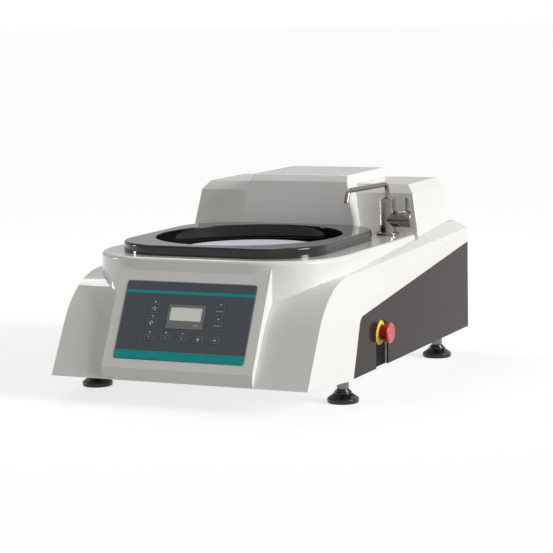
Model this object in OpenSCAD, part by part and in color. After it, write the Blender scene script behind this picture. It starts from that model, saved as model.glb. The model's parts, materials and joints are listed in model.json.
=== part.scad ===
// Benchtop grinder-polisher with one rotating platen, a swivelling water spout and a sloping control face.
// X runs to the right, Y to the rear and Z up. The origin lies on the floor under the middle of the machine.
// Inside the modules, X counts from the mid plane and Y from the platen's axis.

/* [Basin and splash ring] */
// Radius of the round opening over the platen
basin_r = 156; // [150:1:164]
// Thickness of the basin's wall and floor
basin_wall = 3.5; // [2.5:0.5:4.5]
// Depth of the basin under the deck
basin_depth = 58; // [54:1:62]
// Width of the basin's rim that lies on the deck
basin_rim_w = 14; // [10:1:16]
// Thickness of that rim
basin_rim_t = 3; // [2:0.5:4]
// Inner radius of the collar round the spindle
collar_r = 40; // [39:0.5:43]
// Height of that collar over the basin's underside
collar_h = 17; // [14:0.5:18]
// Least width of the splash ring round the opening
ring_border = 23; // [20:1:26]
// Height of the splash ring over the deck
ring_h = 17; // [14:0.5:20]
// Radius of the splash ring's corners in plan
ring_corner_r = 95; // [80:1:100]
// Rounding of the splash ring's upper edges
ring_edge_r = 4; // [2:0.5:5]
// Rounding of the splash ring's inner edge
ring_bore_edge_r = 1.5; // [1:0.5:4]

/* [Platen] */
// Radius of the platen
platen_r = 125; // [118:1:130]
// Thickness of the platen
platen_t = 18.4; // [16:0.2:20]
// Drop from the deck to the working surface
platen_drop = 6.4; // [5:0.2:8]
// Thickness of the magnetic mat
mat_t = 2; // [1:0.1:3]
// Thickness of the abrasive disc
abrasive_t = 1.2; // [0.6:0.1:2]
// Radius of the hub that carries the platen
platen_hub_r = 60; // [56:1:70]
// Thickness of that hub
platen_hub_t = 10; // [8:0.5:11]
// Length of the water skirt under the hub
skirt_h = 9; // [6:0.5:11]
// Radius of the two drive pins
drive_pin_r = 4; // [3:0.5:5]
// Length of the drive pins over the hub
drive_pin_h = 6; // [4:0.5:9]

/* [Spindle] */
// Radius of the spindle
spindle_r = 12.5; // [11:0.5:14]
// Outer radius of the bearings
bearing_r = 26; // [24:0.5:28]
// Width of a bearing
bearing_w = 15; // [12:0.5:17]
// Outer radius of the bearing housing
housing_r = 36; // [33:0.5:38]
// Height of the bearing housing over the support plate
housing_h = 42; // [40:0.5:43]
// Radius of the housing's flange
housing_flange_r = 55; // [52:1:60]
// Thickness of the housing's flange
housing_flange_t = 10; // [8:0.5:12]
// Thickness of the bearing cap
bearing_cap_t = 4; // [3:0.5:5]

/* [Drive] */
// Radius of the pulley on the spindle
driven_pulley_r = 75; // [66:1:80]
// Radius of the pulley on the motor
motor_pulley_r = 30; // [26:1:34]
// Width of the pulleys
pulley_w = 26; // [22:1:30]
// Width of the belt
belt_w = 18; // [14:1:20]
// Thickness of the belt
belt_t = 4; // [3:0.5:5]
// Distance of the motor's axis behind the deck
motor_back = 69; // [66:1:80]
// Radius of the motor's barrel
motor_r = 60; // [54:1:62]
// Height of the cooling fins on the barrel
motor_fin_h = 5; // [3:0.5:6]
// Height of the motor's barrel
motor_h = 118; // [100:1:126]
// Thickness of the motor's flange
motor_flange_t = 12; // [8:0.5:14]
// Height of the fan cover on the motor
fan_cover_h = 34; // [26:1:38]
// Radius of the motor's shaft
motor_shaft_r = 9.5; // [8:0.5:12]
// Thickness of the plate that carries motor and spindle
support_t = 8; // [6:0.5:10]
// Radius of the posts under that plate
post_r = 9; // [8:0.5:11]

/* [Deck] */
// Height of the body from its underside to the deck
body_h = 186; // [180:1:196]
// Width of deck beside the splash ring
deck_side = 38; // [34:1:44]
// Width of deck in front of the splash ring
deck_front_w = 27; // [22:1:32]
// Depth of deck behind the splash ring
deck_back_w = 42; // [40:1:50]
// Radius of the deck's front corners in plan
deck_front_r = 122; // [100:1:130]
// Radius of the deck's rear corners in plan
deck_rear_r = 16; // [10:1:24]
// Rounding of the deck's upper edge
deck_edge_r = 6; // [3:0.5:8]

/* [Body] */
// Gap between the floor and the body
foot_h = 42; // [36:1:50]
// Wall thickness of the body
wall = 4; // [3:0.5:5]
// Wall thickness of the body's sides
side_wall = 5.5; // [5:0.5:7]
// Width of the wing's top beside the deck
wing_strip = 7; // [4:1:12]
// Width of the bevel between wing and side
bevel_w = 26; // [20:1:32]
// Lean of the wings' front faces from upright, degrees
wing_lean = 29.5; // [27:0.5:31]
// Slope of the wings' tops, degrees
wing_slope = 4.2; // [3.6:0.1:4.8]
// Height of the wings' rear end over the deck
wing_rise = 6; // [4:0.5:10]
// Radius of the wings' shoulder
shoulder_r = 140; // [110:1:160]
// Set-back of the side faces from the front
side_set_back = 100.5; // [90:0.5:110]
// Lean of the side faces' front edge from upright, degrees
side_lean = 16.3; // [14:0.1:19]
// Slope of the side faces' top edge, degrees
side_slope = 7.6; // [6.6:0.1:8]
// Drop of the side faces' rear end under the deck
side_drop = 6; // [4:0.5:10]
// Radius of the side faces' front corner
side_corner_r = 42; // [30:1:55]
// Thickness of the base plate
base_t = 5; // [4:0.5:6]
// Thickness of the back panel
back_t = 3; // [2:0.5:4]

/* [Side panels] */
// Set-back of a side panel from the side face's front edge
panel_set_back = 20; // [16:1:26]
// Lean of a side panel's front edge from upright, degrees
panel_lean = 19.3; // [17:0.1:21]
// Slope of a side panel's top edge, degrees
panel_slope = 6.8; // [6:0.1:7.4]
// Drop of a side panel's rear end under the deck
panel_drop = 31.5; // [28:0.5:36]
// Radius of a side panel's front corner
panel_corner_r = 18; // [10:1:24]
// Thickness of a side panel
panel_t = 2.5; // [2:0.5:3]

/* [Control face] */
// Width of the control face
face_w = 264; // [256:1:290]
// Height of the upright strip under the control face
face_base_h = 20; // [16:1:26]
// Lean of the control face from upright, degrees
face_lean = 26.8; // [25:0.1:28]
// Drop from the deck to the fold over the control face
face_fold = 20.5; // [16:0.5:24]
// Margin round the overlay
overlay_margin = 16; // [14:0.5:20]
// Thickness of the overlay
overlay_t = 1.6; // [1.2:0.1:2]
// Depth to which the overlay is let in
overlay_sink = 1; // [0.6:0.1:1.1]
// Rounding of the overlay's corners
overlay_r = 5; // [3:0.5:8]
// Distance between neighbouring keys in the bottom row
key_pitch = 28.8; // [27:0.2:31]
// Distance between the rows of keys
key_row_pitch = 23.7; // [22:0.1:25]
// Width of a key
key_w = 16; // [13:0.5:18]
// Height of a key in the bottom row
key_low_h = 10.5; // [9:0.5:12]
// Height of a key in the side columns
key_tall_h = 15.6; // [14:0.2:17]
// Rounding of a key's corners
key_r = 2.4; // [1:0.1:3]
// Height of a key over the overlay
key_proud = 0.6; // [0.5:0.1:0.8]
// Width of the display's bezel
bezel_w = 64.4; // [60:0.2:68]
// Height of the display's bezel
bezel_h = 39.4; // [36:0.2:42]
// Height of the bezel over the overlay
bezel_proud = 0.6; // [0.4:0.1:1]
// Width of the display's window
screen_w = 55; // [50:0.5:58]
// Height of the display's window
screen_h = 21.4; // [18:0.2:26]
// Radius of an indicator lamp
lamp_r = 1.1; // [0.8:0.1:1.4]

/* [Rear cover] */
// Wall thickness of the cover
cover_wall = 3; // [2:0.5:4]
// Height of the cover's side blocks over the deck
cover_h = 83; // [76:1:86]
// Height of their chamfer
cover_chamfer_h = 14.7; // [10:0.1:18]
// Width of their chamfer
cover_chamfer_w = 12.5; // [8:0.5:15]
// Depth of the body behind the deck, under the cover
cover_depth = 168; // [160:1:186]
// Inset of the cover's sides from the wings' edge, at deck height
cover_side_inset = 7; // [5:0.5:12]
// Lean of the cover's sides from upright, degrees
cover_side_lean = 10.8; // [8:0.1:12]
// Lean of the cover's front faces from upright, degrees
cover_front_lean = 8.5; // [7:0.1:9.5]
// Half width of the hump over the motor, at deck height
hump_half = 110.5; // [106:0.5:116]
// Height of the hump over the deck
hump_h = 99.5; // [96:0.5:106]
// Height of the hump's chamfer
hump_chamfer_h = 11; // [8:0.5:14]
// Depth of the hump's front chamfer
hump_chamfer_w = 9; // [6:0.5:12]
// Reach of the hump over the deck
hump_reach = 30; // [26:0.5:34]

/* [Water spout] */
// Distance of the spout's column from the deck's side
faucet_side = 44; // [40:1:46]
// Distance of the spout's column from the deck's rear edge
faucet_back = 30; // [28:1:31]
// Radius of the column's flange
faucet_flange_r = 20; // [18:0.5:21]
// Thickness of the column's flange
faucet_flange_t = 5; // [3:0.5:7]
// Radius of the column
column_r = 14.4; // [13:0.1:15.5]
// Height of the column over the deck
column_h = 64; // [58:1:66]
// Height of the valve's axis over the deck
valve_h = 28; // [24:0.5:32]
// Radius of the valve's body
valve_r = 13.8; // [12:0.1:14]
// Distance from the column's axis to the handle
valve_len = 29; // [26:0.5:32]
// Radius of the handle
handle_r = 14.6; // [13:0.1:16]
// Length of the handle
handle_len = 17.5; // [15:0.5:20]
// Radius of the lever on the handle
lever_r = 3.2; // [2.5:0.1:4]
// Length of the lever over the handle
lever_len = 23.5; // [18:0.5:28]
// Outer radius of the spout's tube
spout_r = 4.1; // [3.6:0.1:5]
// Inner radius of the spout's tube
spout_bore_r = 2.8; // [2:0.1:3]
// Height of the spout's arm over the deck
spout_h = 88; // [84:1:92]
// Length of the spout's arm
spout_len = 129.5; // [110:0.5:140]
// Direction in which the spout points at rest, degrees from +X
spout_angle = -96.5; // [-100:0.5:-90]
// Radius of the bend over the column
spout_bend_r = 9; // [7:0.5:12]
// Radius of the bend at the tip
tip_bend_r = 12; // [9:0.5:16]
// Angle of the tip under the horizontal, degrees
tip_angle = 65; // [50:1:80]
// Length of the straight tip
tip_len = 14.5; // [10:0.5:18]

/* [Emergency stop] */
// Distance of the button in front of the platen's axis
estop_front = 36; // [30:1:42]
// Height of the button over the body's underside
estop_h = 55; // [52:0.5:60]
// Radius of the yellow plate
estop_plate_r = 20.5; // [18:0.5:22]
// Thickness of the yellow plate
estop_plate_t = 1.5; // [1:0.1:2]
// Radius of the button's neck
estop_neck_r = 13; // [11:0.5:13.5]
// Radius of the button's face
estop_head_r = 17; // [16:0.5:20]
// Height of the button's face over the side face
estop_reach = 16.5; // [14:0.5:20]
// Travel of the button
estop_travel = 4; // [3:0.5:5]
// Width of the notch under the button
notch_w = 52; // [48:1:58]

/* [Feet] */
// Radius of a foot's base
foot_r = 25.5; // [22:0.5:28]
// Thickness of a foot's base
foot_base_t = 8; // [6:0.5:10]
// Height of a foot's cone over its base
foot_cone_h = 9; // [7:0.5:11]
// Width across the flats of a foot's hexagon
foot_hex_w = 20; // [17:0.5:22]
// Radius of a foot's screw
foot_screw_r = 6; // [5:0.5:7]
// Distance of the feet from the side faces
foot_side = 28; // [27:0.5:34]
// Distance of the front feet in front of the platen's axis
foot_front_y = 136; // [126:1:140]
// Distance of the rear feet from the rear face
foot_rear_gap = 90; // [80:1:120]

/* [Rear services] */
// Outer radius of the drain spigot
drain_r = 12.5; // [10:0.5:13.5]
// Outer radius of the water inlet
inlet_r = 6; // [5:0.5:7]
// Length of the spigots behind the machine
spigot_len = 35; // [28:1:40]
// Wall thickness of the hoses
hose_wall = 3; // [2:0.5:3.5]
// Width of the power inlet's flange
socket_w = 48; // [46:1:54]
// Height of the power inlet's flange
socket_h = 25; // [24:0.5:30]

/* [Hidden] */
$fn = 96;

// Clearances and overruns
running_gap = 0.05;
curved_gap = 0.3;
seat_gap = 0.2;
cut = 1;

// Plan of the machine, from the opening outwards
ring_half = basin_r + ring_border;
deck_half = ring_half + deck_side;
deck_front = ring_half + deck_front_w;
deck_rear = ring_half + deck_back_w;
wing_half = deck_half + wing_strip;
body_half = wing_half + bevel_w;
body_rear = deck_rear + cover_depth;

// Heights
deck_z = foot_h + body_h;
face_z = foot_h + face_base_h;
fold_z = deck_z - face_fold;
face_len = (fold_z - face_z) / cos(face_lean);
body_front = deck_front + (fold_z - face_z) * tan(face_lean);
wing_rear_z = deck_z + wing_rise;
side_rear_z = deck_z - side_drop;
basin_z = deck_z - basin_depth;
base_top = foot_h + base_t;

// Platen and spindle, from the working surface down
abrasive_top = deck_z - platen_drop;
mat_top = abrasive_top - abrasive_t;
platen_top = mat_top - mat_t;
platen_z = platen_top - platen_t;
platen_hub_z = platen_z - platen_hub_t;
platen_chamfer = 1;
platen_boss_gap = 3;
collar_top = basin_z + collar_h;
collar_wall = basin_wall;
skirt_r = collar_r + collar_wall + platen_boss_gap;
skirt_t = 3;
support_drop = 32;
support_top = basin_z - support_drop;
support_z = support_top - support_t;
bearing_rim = 2;
lower_bearing_z = support_top + bearing_rim;
upper_bearing_z = support_top + housing_h - bearing_w;
bearing_ring_t = 4;
bearing_race_gap = 0.4;
cap_z = support_top + housing_h;
spindle_nose_r = spindle_r - bearing_rim;

// Belt drive
motor_y = deck_rear + motor_back;
pulley_gap = 8;
pulley_z = support_z - pulley_gap - pulley_w;
pulley_lip = 2.5;
pulley_rim_t = 10;
pulley_web_t = 8;
pulley_hub_wall = 9;
belt_z = pulley_z + (pulley_w - belt_w) / 2;
belt_turn = asin((driven_pulley_r - motor_pulley_r) / motor_y);
post_gap = 4;
post_x = driven_pulley_r + belt_t + post_r + post_gap;
support_half = post_x + post_r + post_gap;
support_front = support_half;
support_rear = motor_y + motor_r + motor_fin_h + post_gap;
post_ys = [-post_x, (motor_y - post_x) / 2, support_rear - post_r - post_gap];
shaft_hole_r = motor_shaft_r + motor_fin_h * 2;
spindle_hole_r = bearing_r - bearing_rim;
spindle_tail = 4;
fan_cover_r = motor_r + motor_fin_h;
fin_count = 28;
fin_t = 2.4;

// Bolts and screws
bolt_r = 3;
bolt_head_r = 5;
bolt_head_h = 4;
housing_bolt_pcr = (housing_r + housing_flange_r) / 2;
screw_r = 2;
screw_head_r = 4;
screw_head_h = 2;
screw_len = 10;
lug_h = 18;

// Control face
face_wall = wall;
overlay_w = face_w - 2 * overlay_margin - overlay_sink * 3;
overlay_h = face_len - 2 * overlay_margin;
overlay_v = face_len / 2 - overlay_sink;
overlay_top = overlay_t - overlay_sink;
key_low_share = 1.19;
key_low_v = overlay_v - key_row_pitch * key_low_share;
window_gap = curved_gap;
board_t = 1.6;
board_gap = 7;
board_w_share = 0.72;
board_h_share = 0.66;
board_w = overlay_w * board_w_share;
board_h = overlay_h * board_h_share;
board_boss_r = 4;
key_depth = overlay_t + key_proud;
lamp_v_gap = key_r + lamp_r;
lamp_proud = 0.3;
bezel_up_share = 0.32;
screen_up_share = 0.11;
bezel_v = overlay_v + key_row_pitch * bezel_up_share;
screen_v = bezel_v + bezel_h * screen_up_share;
screen_t = 1;
bezel_rim = 1.2;
board_margin = 8;

// Keys: name, column, row, height of the key, whether a lamp sits over it
KEYS = [
    ["key_forward", -2, 2, key_tall_h, true], ["key_reverse", -2, 1, key_tall_h, true],
    ["key_speed_1", -2, 0, key_low_h, true], ["key_speed_2", -1, 0, key_low_h, true],
    ["key_speed_3", 0, 0, key_low_h, true], ["key_plus", 1, 0, key_low_h, false],
    ["key_minus", 2, 0, key_low_h, false], ["key_start", 2, 2, key_tall_h, true],
    ["key_stop", 2, 1, key_tall_h, true]];

// Rear cover
cover_rear = body_rear - cut;
cover_face_h = cover_h - cover_chamfer_h;
cover_half = wing_half - cover_side_inset;
cover_front = deck_rear + 2 * cut;
hump_face_h = hump_h - hump_chamfer_h;
hump_front = deck_rear - hump_reach;
hatch_gap = 9;
hatch_half = hump_half - cover_wall - 2 * hatch_gap;
hatch_front = deck_rear - hatch_gap;
hatch_rear = body_rear - 2 * hatch_gap;

// Water spout
faucet_x = deck_half - faucet_side;
faucet_y = deck_rear - faucet_back;
shank_r = 8;
shank_len = 22;
barb_len = 16;
nut_w = 26;
nut_h = 8;
socket_depth = 16;
spout_foot = 14;
lever_root = 8;

// Emergency stop
estop_z = foot_h + estop_h;
estop_y = -estop_front;
notch_r = notch_w / 2;
notch_drop = 5;
notch_z = estop_z - notch_drop;
bracket_t = 3;
bracket_margin = 12;
bracket_x = body_half - side_wall;
stop_x = bracket_x + estop_plate_t;
barrel_wall = 1.6;
barrel_bore_r = estop_neck_r + curved_gap;
barrel_r = barrel_bore_r + barrel_wall;
barrel_nut_r = barrel_r + 2 * barrel_wall;
barrel_nut_t = 4;
barrel_len = 20;
neck_in = 6;
stem_r = 5;
stem_in = 5;
stem_len = 26;
block_half = 17;
block_len = 24;
head_flare = 7;
head_dome = 1.8;
head_rim = 2.6;
estop_x = body_half + estop_reach;
head_h = estop_x - stop_x;

// Feet
foot_neck_r = 11;
foot_cone_r = 13.5;
foot_neck_h = 5;
foot_screw_up = 26;
foot_x = body_half - foot_side;
foot_rear_y = body_rear - foot_rear_gap;

// Rear services
drain_inset = 18.5;
drain_y = 45;
drain_x = -sqrt(pow(basin_r - drain_inset, 2) - pow(drain_y, 2));
drain_rise = 43;
drain_z = foot_h + drain_rise;
drain_wall = 2.5;
drain_bore_r = drain_r - drain_wall;
drain_stub = 22;
hose_bend_r = 26;
hose_grip = 18;
inlet_drop = 78;
inlet_z = deck_z - inlet_drop;
inlet_wall = 2;
inlet_bore_r = inlet_r - inlet_wall;
inlet_bend_r = 22;
spigot_flange_r = 6;
spigot_flange_t = 3;
spigot_groove = 0.75;
socket_x = 62;
socket_rise = 50;
socket_z = foot_h + socket_rise;
socket_depth_y = 22;
socket_hole_w = 24.4;
socket_hole_h = 16.6;
socket_hole_d = 16;
socket_pin_w = 2;
socket_pin_h = 4;
socket_pin_len = 11;
socket_pin_gap = 7;
socket_pin_rise = 0.75;
flange_t = 2.5;
switch_gap = 8;
switch_w = 15;
switch_h = 21;
switch_d = 18;
switch_rim = 2;
switch_wall = 1.5;
switch_in = 3;
switch_pin_r = 1.5;
rocker_tilt = 9;
rocker_play = 1.4;
rocker_in = 5;
rocker_out = 6.5;
switch_x = socket_x - socket_w / 2 - switch_gap - switch_w / 2 - switch_rim;
vent_count = 12;
vent_pitch = 7;
vent_w = 3;
vent_h = 46;
vent_x = -58;
vent_drop = 62;
vent_z = side_rear_z - vent_drop;
inverter_w = 70;
inverter_d = 120;
inverter_h = 96;
inverter_gap = 20;
inverter_y = foot_rear_y - inverter_d - inverter_gap;

// Overall extent, for the origin
x_mid = (estop_x - body_half) / 2;
y_mid = (body_rear + spigot_len - body_front) / 2;

// Colours
paint = [0.86, 0.86, 0.84];
slate = [0.33, 0.32, 0.31];
steel = [0.62, 0.62, 0.63];
black = [0.09, 0.09, 0.09];

// Outline of a body section in Y and Z: a leaning front edge, a round shoulder and a sloping top
function section(front, lean, rear_z, slope, r, low = foot_h, rear = body_rear, steps = 8) = let (
    up = [sin(lean), cos(lean)],
    back = [cos(slope), sin(slope)],
    toe = [-front - (foot_h - low) * tan(lean), low],
    heel = [rear, rear_z + (rear - body_rear) * tan(slope)],
    run = ((heel[0] - toe[0]) * back[1] - (heel[1] - toe[1]) * back[0])
        / (up[0] * back[1] - up[1] * back[0]),
    turn = 90 - lean - slope,
    start = toe + (run - r * tan(turn / 2)) * up,
    centre = start + r * [cos(lean), -sin(lean)])
    concat([toe], [for (i = [0:steps]) let (a = lean + turn * i / steps)
        centre + r * [-cos(a), sin(a)]], [heel, [rear, low]]);

// Height of the wings' top at a place along Y
function wing_z(y) = wing_rear_z - (body_rear - y) * tan(wing_slope);

// Places a shape of the inner frame in the part's own frame
module in_frame() {
    translate([-x_mid, -y_mid, 0])
        children();
}

// Extrudes a Y-Z outline along X, to both sides of the mid plane
module along_x(half) {
    rotate([90, 0, 90])
        linear_extrude(2 * half, center = true)
            children();
}

// Axes of the control face: X along it, Y up its slope, Z out of it, from its lower edge
module on_face(u = 0, v = 0) {
    translate([0, -body_front, face_z])
        rotate([90 - face_lean, 0, 0])
            translate([u, v, 0])
                children();
}

module pipe(r, bore, h) {
    difference() {
        cylinder(r = r, h = h);
        translate([0, 0, -cut])
            cylinder(r = bore, h = h + 2 * cut);
    }
}

module round_rect(w, h, r) {
    square([w - 2 * r, h], center = true);
    square([w, h - 2 * r], center = true);
    for (x = [-1, 1], y = [-1, 1])
        translate([x * (w / 2 - r), y * (h / 2 - r)])
            circle(r);
}

module round_plate(w, h, r, t) {
    linear_extrude(t)
        round_rect(w, h, r);
}

// A quarter section whose outer upper corner is rounded
module edge_section(w, h, edge) {
    square([w, h - edge]);
    square([w - edge, h]);
    translate([w - edge, h - edge])
        circle(edge);
}

// A block with round corners in plan and a rounded upper edge, from the floor of its own frame
module soft_block(half, front, rear, front_r, rear_r, h, edge) {
    for (s = [-1, 1]) {
        translate([s * (half - front_r), front_r - front, 0])
            rotate_extrude()
                edge_section(front_r, h, edge);
        translate([s * (half - rear_r), rear - rear_r, 0])
            rotate_extrude()
                edge_section(rear_r, h, edge);
    }
    translate([0, -front, 0])
        intersection() {
            translate([0, front_r, 0])
                along_x(half - front_r)
                    mirror([1, 0])
                        edge_section(front_r, h, edge);
            translate([-half, -cut, -cut])
                cube([2 * half, front_r + cut, h + 2 * cut]);
        }
    translate([0, rear - rear_r, 0])
        along_x(half - rear_r)
            edge_section(rear_r, h, edge);
    for (s = [0, 1])
        mirror([s, 0, 0]) {
            translate([half - front_r, rear - rear_r, 0])
                rotate([90, 0, 0])
                    linear_extrude(front + rear - front_r - rear_r)
                        edge_section(front_r, h, edge);
        }
    translate([-(half - front_r), -(front - front_r), 0])
        cube([2 * (half - front_r), front + rear - front_r - rear_r, h]);
    translate([-(half - rear_r), rear - front_r, 0])
        cube([2 * (half - rear_r), front_r - rear_r, h]);
}

// A solid lofted through level rectangles: half width, front, rear, height
module tower(levels) {
    n = len(levels);
    points = [for (l = levels) each [[-l[0], l[1], l[3]], [l[0], l[1], l[3]],
        [l[0], l[2], l[3]], [-l[0], l[2], l[3]]]];
    faces = concat([[0, 1, 2, 3]], [[for (i = [3:-1:0]) 4 * (n - 1) + i]],
        [for (k = [0:n - 2], i = [0:3]) let (j = (i + 1) % 4)
            [4 * k + i, 4 * k + 4 + i, 4 * k + 4 + j, 4 * k + j]]);
    polyhedron(points, faces, convexity = 4);
}

module bolt(r, head_r, head_h, len) {
    cylinder(r = head_r, h = head_h);
    translate([0, 0, -len])
        cylinder(r = r, h = len);
}

// Wings: one convex form through the front section and the side section
module wing_form(inset = 0, low = foot_h, rear = body_rear) {
    hull() {
        along_x(wing_half - inset / 2)
            polygon(section(body_front - inset / cos(wing_lean), wing_lean,
                wing_rear_z - inset / cos(wing_slope), wing_slope, shoulder_r - inset, low, rear));
        along_x(body_half - (inset > 0 ? side_wall : 0))
            polygon(section(body_front - side_set_back - inset / cos(side_lean), side_lean,
                side_rear_z - inset / cos(side_slope), side_slope, side_corner_r - inset, low, rear));
    }
}

module deck_form(inset = 0, low = foot_h) {
    translate([0, 0, low])
        soft_block(deck_half - inset, deck_front - inset, deck_rear - inset, deck_front_r - inset,
            deck_rear_r - inset, deck_z - low - inset, max(deck_edge_r - inset, cut));
}

// The block under the control face; its slope runs on up into the deck's edge
module face_form(inset = 0, low = foot_h) {
    step = inset / cos(face_lean);
    lift = (inset - step) / tan(face_lean);
    over = face_fold - deck_edge_r;
    crest = fold_z + lift + over;
    along_x(face_w / 2 - inset)
        polygon([[inset - body_front, low], [inset - body_front, face_z + lift],
            [inset - deck_front + over * tan(face_lean), crest], [0, crest], [0, low]]);
}

module side_outline(gap = 0) {
    polygon(section(body_front - side_set_back - panel_set_back - gap, panel_lean,
        deck_z - panel_drop - gap, panel_slope, panel_corner_r - gap, foot_h - (gap > 0 ? 0 : cut),
        body_rear + (gap > 0 ? 0 : cut)));
}

module notch_outline(grow = 0) {
    translate([estop_y, notch_z])
        circle(notch_r + grow);
    translate([estop_y - notch_r - grow, foot_h - cut])
        square([notch_w + 2 * grow, notch_z - foot_h + cut]);
}

module side_recess() {
    translate([body_half - panel_t + side_wall, 0, 0])
        along_x(side_wall)
            side_outline();
}

// Lugs inside the body that take the back panel's screws
module lugs() {
    reach = screw_len + cut;
    for (s = screw_places())
        translate([s[0], body_rear - back_t, s[1]])
            rotate([90, 0, 0])
                difference() {
                    translate([-reach, -lug_h / 2, 0])
                        cube([2 * reach, lug_h, screw_len]);
                    translate([0, 0, -cut])
                        cylinder(r = screw_r, h = screw_len + 2 * cut);
                }
}

module body_shell() {
    low = foot_h - cut;
    color(paint) {
        lugs();
        difference() {
            union() {
                wing_form();
                deck_form();
                face_form();
            }
            wing_form(wall, low, body_rear + cut);
            deck_form(wall, low);
            face_form(wall, low);
            translate([0, 0, basin_z])
                cylinder(r = basin_r + basin_wall + curved_gap, h = basin_depth + cut);
            translate([-hatch_half, hatch_front, basin_z])
                cube([2 * hatch_half, hatch_rear - hatch_front, basin_depth + wing_rise]);
            translate([faucet_x, faucet_y, basin_z])
                cylinder(r = shank_r, h = basin_depth + cut);
            on_face(0, overlay_v)
                translate([0, 0, -overlay_sink])
                    round_plate(overlay_w, overlay_h, overlay_r, 2 * overlay_sink);
            on_face(0, overlay_v)
                translate([0, 0, -2 * face_wall])
                    round_plate(board_w, board_h, overlay_r, 2 * face_wall);
            for (s = [0, 1])
                mirror([s, 0, 0])
                    side_recess();
            translate([body_half - side_wall, 0, 0])
                along_x(2 * side_wall)
                    notch_outline();
        }
    }
}

module side_panel() {
    translate([body_half - panel_t / 2, 0, 0])
        along_x(panel_t / 2)
            side_outline(curved_gap);
}

module side_panel_right() {
    color(slate)
        difference() {
            side_panel();
            translate([body_half, 0, 0])
                along_x(2 * panel_t)
                    notch_outline();
        }
}

module side_panel_left() {
    color(slate)
        mirror([1, 0, 0])
            side_panel();
}

// Outline of the rear opening, in X and Z
module rear_outline(gap) {
    half_top = wing_half - wall / 2 - gap;
    half = body_half - side_wall - gap;
    polygon([[-half, base_top], [half, base_top], [half, side_rear_z - wall - 2 * gap],
        [half_top, wing_rear_z - wall - 2 * gap], [-half_top, wing_rear_z - wall - 2 * gap],
        [-half, side_rear_z - wall - 2 * gap]]);
}

module back_panel() {
    color(slate)
        difference() {
            translate([0, body_rear, 0])
                rotate([90, 0, 0])
                    linear_extrude(back_t)
                        rear_outline(seat_gap);
            for (i = [0:vent_count - 1])
                translate([vent_x + (i - vent_count / 2) * vent_pitch, body_rear - back_t - cut, vent_z])
                    cube([vent_w, back_t + 2 * cut, vent_h]);
            rear_hole(drain_x, drain_z, drain_r);
            rear_hole(faucet_x, inlet_z, inlet_r);
            for (s = screw_places())
                rear_hole(s[0], s[1], screw_r);
            translate([socket_x, body_rear - back_t / 2, socket_z])
                cube([socket_w - 4 * switch_rim, 2 * back_t, socket_h - 2 * switch_rim], center = true);
            translate([switch_x, body_rear - back_t / 2, socket_z])
                cube([switch_w, 2 * back_t, switch_h], center = true);
        }
}

module rear_hole(x, z, r) {
    translate([x, body_rear + cut, z])
        rotate([90, 0, 0])
            cylinder(r = r, h = back_t + 2 * cut);
}

// Places of the back panel's screws, in X and Z
function screw_places() = [for (x = [-1, 1], z = [base_top + screw_len, side_rear_z - 2 * screw_len])
    [x * (body_half - side_wall - screw_len), z]];

module base_plate() {
    toe = wing_half - wall;
    half = body_half - side_wall - seat_gap;
    front = body_front - wall / cos(wing_lean) - base_t * tan(wing_lean) - seat_gap;
    set_back = body_front - side_set_back - wall / cos(side_lean) - base_t * tan(side_lean) - seat_gap;
    pocket = notch_w + 2 * (bracket_margin + seat_gap);
    color(steel)
        difference() {
            translate([0, 0, foot_h])
                linear_extrude(base_t)
                    polygon([[-toe, -front], [toe, -front], [half, -set_back], [half, body_rear],
                        [-half, body_rear], [-half, -set_back]]);
            translate([bracket_x - bracket_t - seat_gap, estop_y - pocket / 2, foot_h - cut])
                cube([2 * bracket_t, pocket, base_t + 2 * cut]);
            for (p = foot_places())
                translate([p[0], p[1], foot_h - cut])
                    cylinder(r = foot_screw_r + running_gap, h = base_t + 2 * cut);
            for (p = base_screw_places())
                translate([p[0], p[1], foot_h - cut])
                    cylinder(r = bolt_r, h = base_t + 2 * cut);
        }
}

function base_screw_places() = [for (x = [-1, 1], y = post_ys) [x * post_x, y]];
function foot_places() = [for (x = [-1, 1], y = [-foot_front_y, foot_rear_y]) [x * foot_x, y]];

module tower_levels_cover(inset) {
    w = inset;
    low = foot_h + body_h / 2;
    side = tan(cover_side_lean);
    lean = tan(cover_front_lean);
    half = cover_half - w;
    front = cover_front + w;
    face_z = deck_z + cover_face_h - w / 2;
    top_z = deck_z + cover_h - w;
    chamfer = inset > 0 ? cover_chamfer_w - w / 3 : cover_chamfer_w;
    tower([
        [half + (deck_z - low) * side, front - (deck_z - low) * lean, cover_rear - w, low],
        [half - (face_z - deck_z) * side, front + (face_z - deck_z) * lean, cover_rear - w, face_z],
        [half - (face_z - deck_z) * side - chamfer, front + (face_z - deck_z) * lean + chamfer,
            cover_rear - w, top_z]]);
}

module tower_levels_hump(inset) {
    w = inset;
    low = foot_h + body_h / 2;
    side = tan(cover_side_lean);
    lean = tan(cover_front_lean);
    half = hump_half - w;
    front = hump_front + w;
    face_z = deck_z + hump_face_h - w / 2;
    top_z = deck_z + hump_h - w;
    tower([
        [half + (deck_z - low) * side, front - (deck_z - low) * lean, cover_rear - w, low],
        [half - (face_z - deck_z) * side, front + (face_z - deck_z) * lean, cover_rear - w, face_z],
        [half - (face_z - deck_z) * side - hump_chamfer_w / 3,
            front + (face_z - deck_z) * lean + hump_chamfer_w, cover_rear - w, top_z]]);
}

// The space of the body under the cover: the deck, its rear edge and the sloping wings' tops
module under_cover() {
    along_x(2 * body_half)
        polygon([[0, 0], [0, deck_z], [deck_rear, deck_z], [deck_rear, wing_z(deck_rear)],
            [body_rear + cut, wing_z(body_rear + cut)], [body_rear + cut, 0]]);
}

module rear_cover() {
    color(paint)
        difference() {
            union() {
                tower_levels_cover(0);
                tower_levels_hump(0);
            }
            tower_levels_cover(cover_wall);
            tower_levels_hump(cover_wall);
            under_cover();
        }
}

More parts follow.
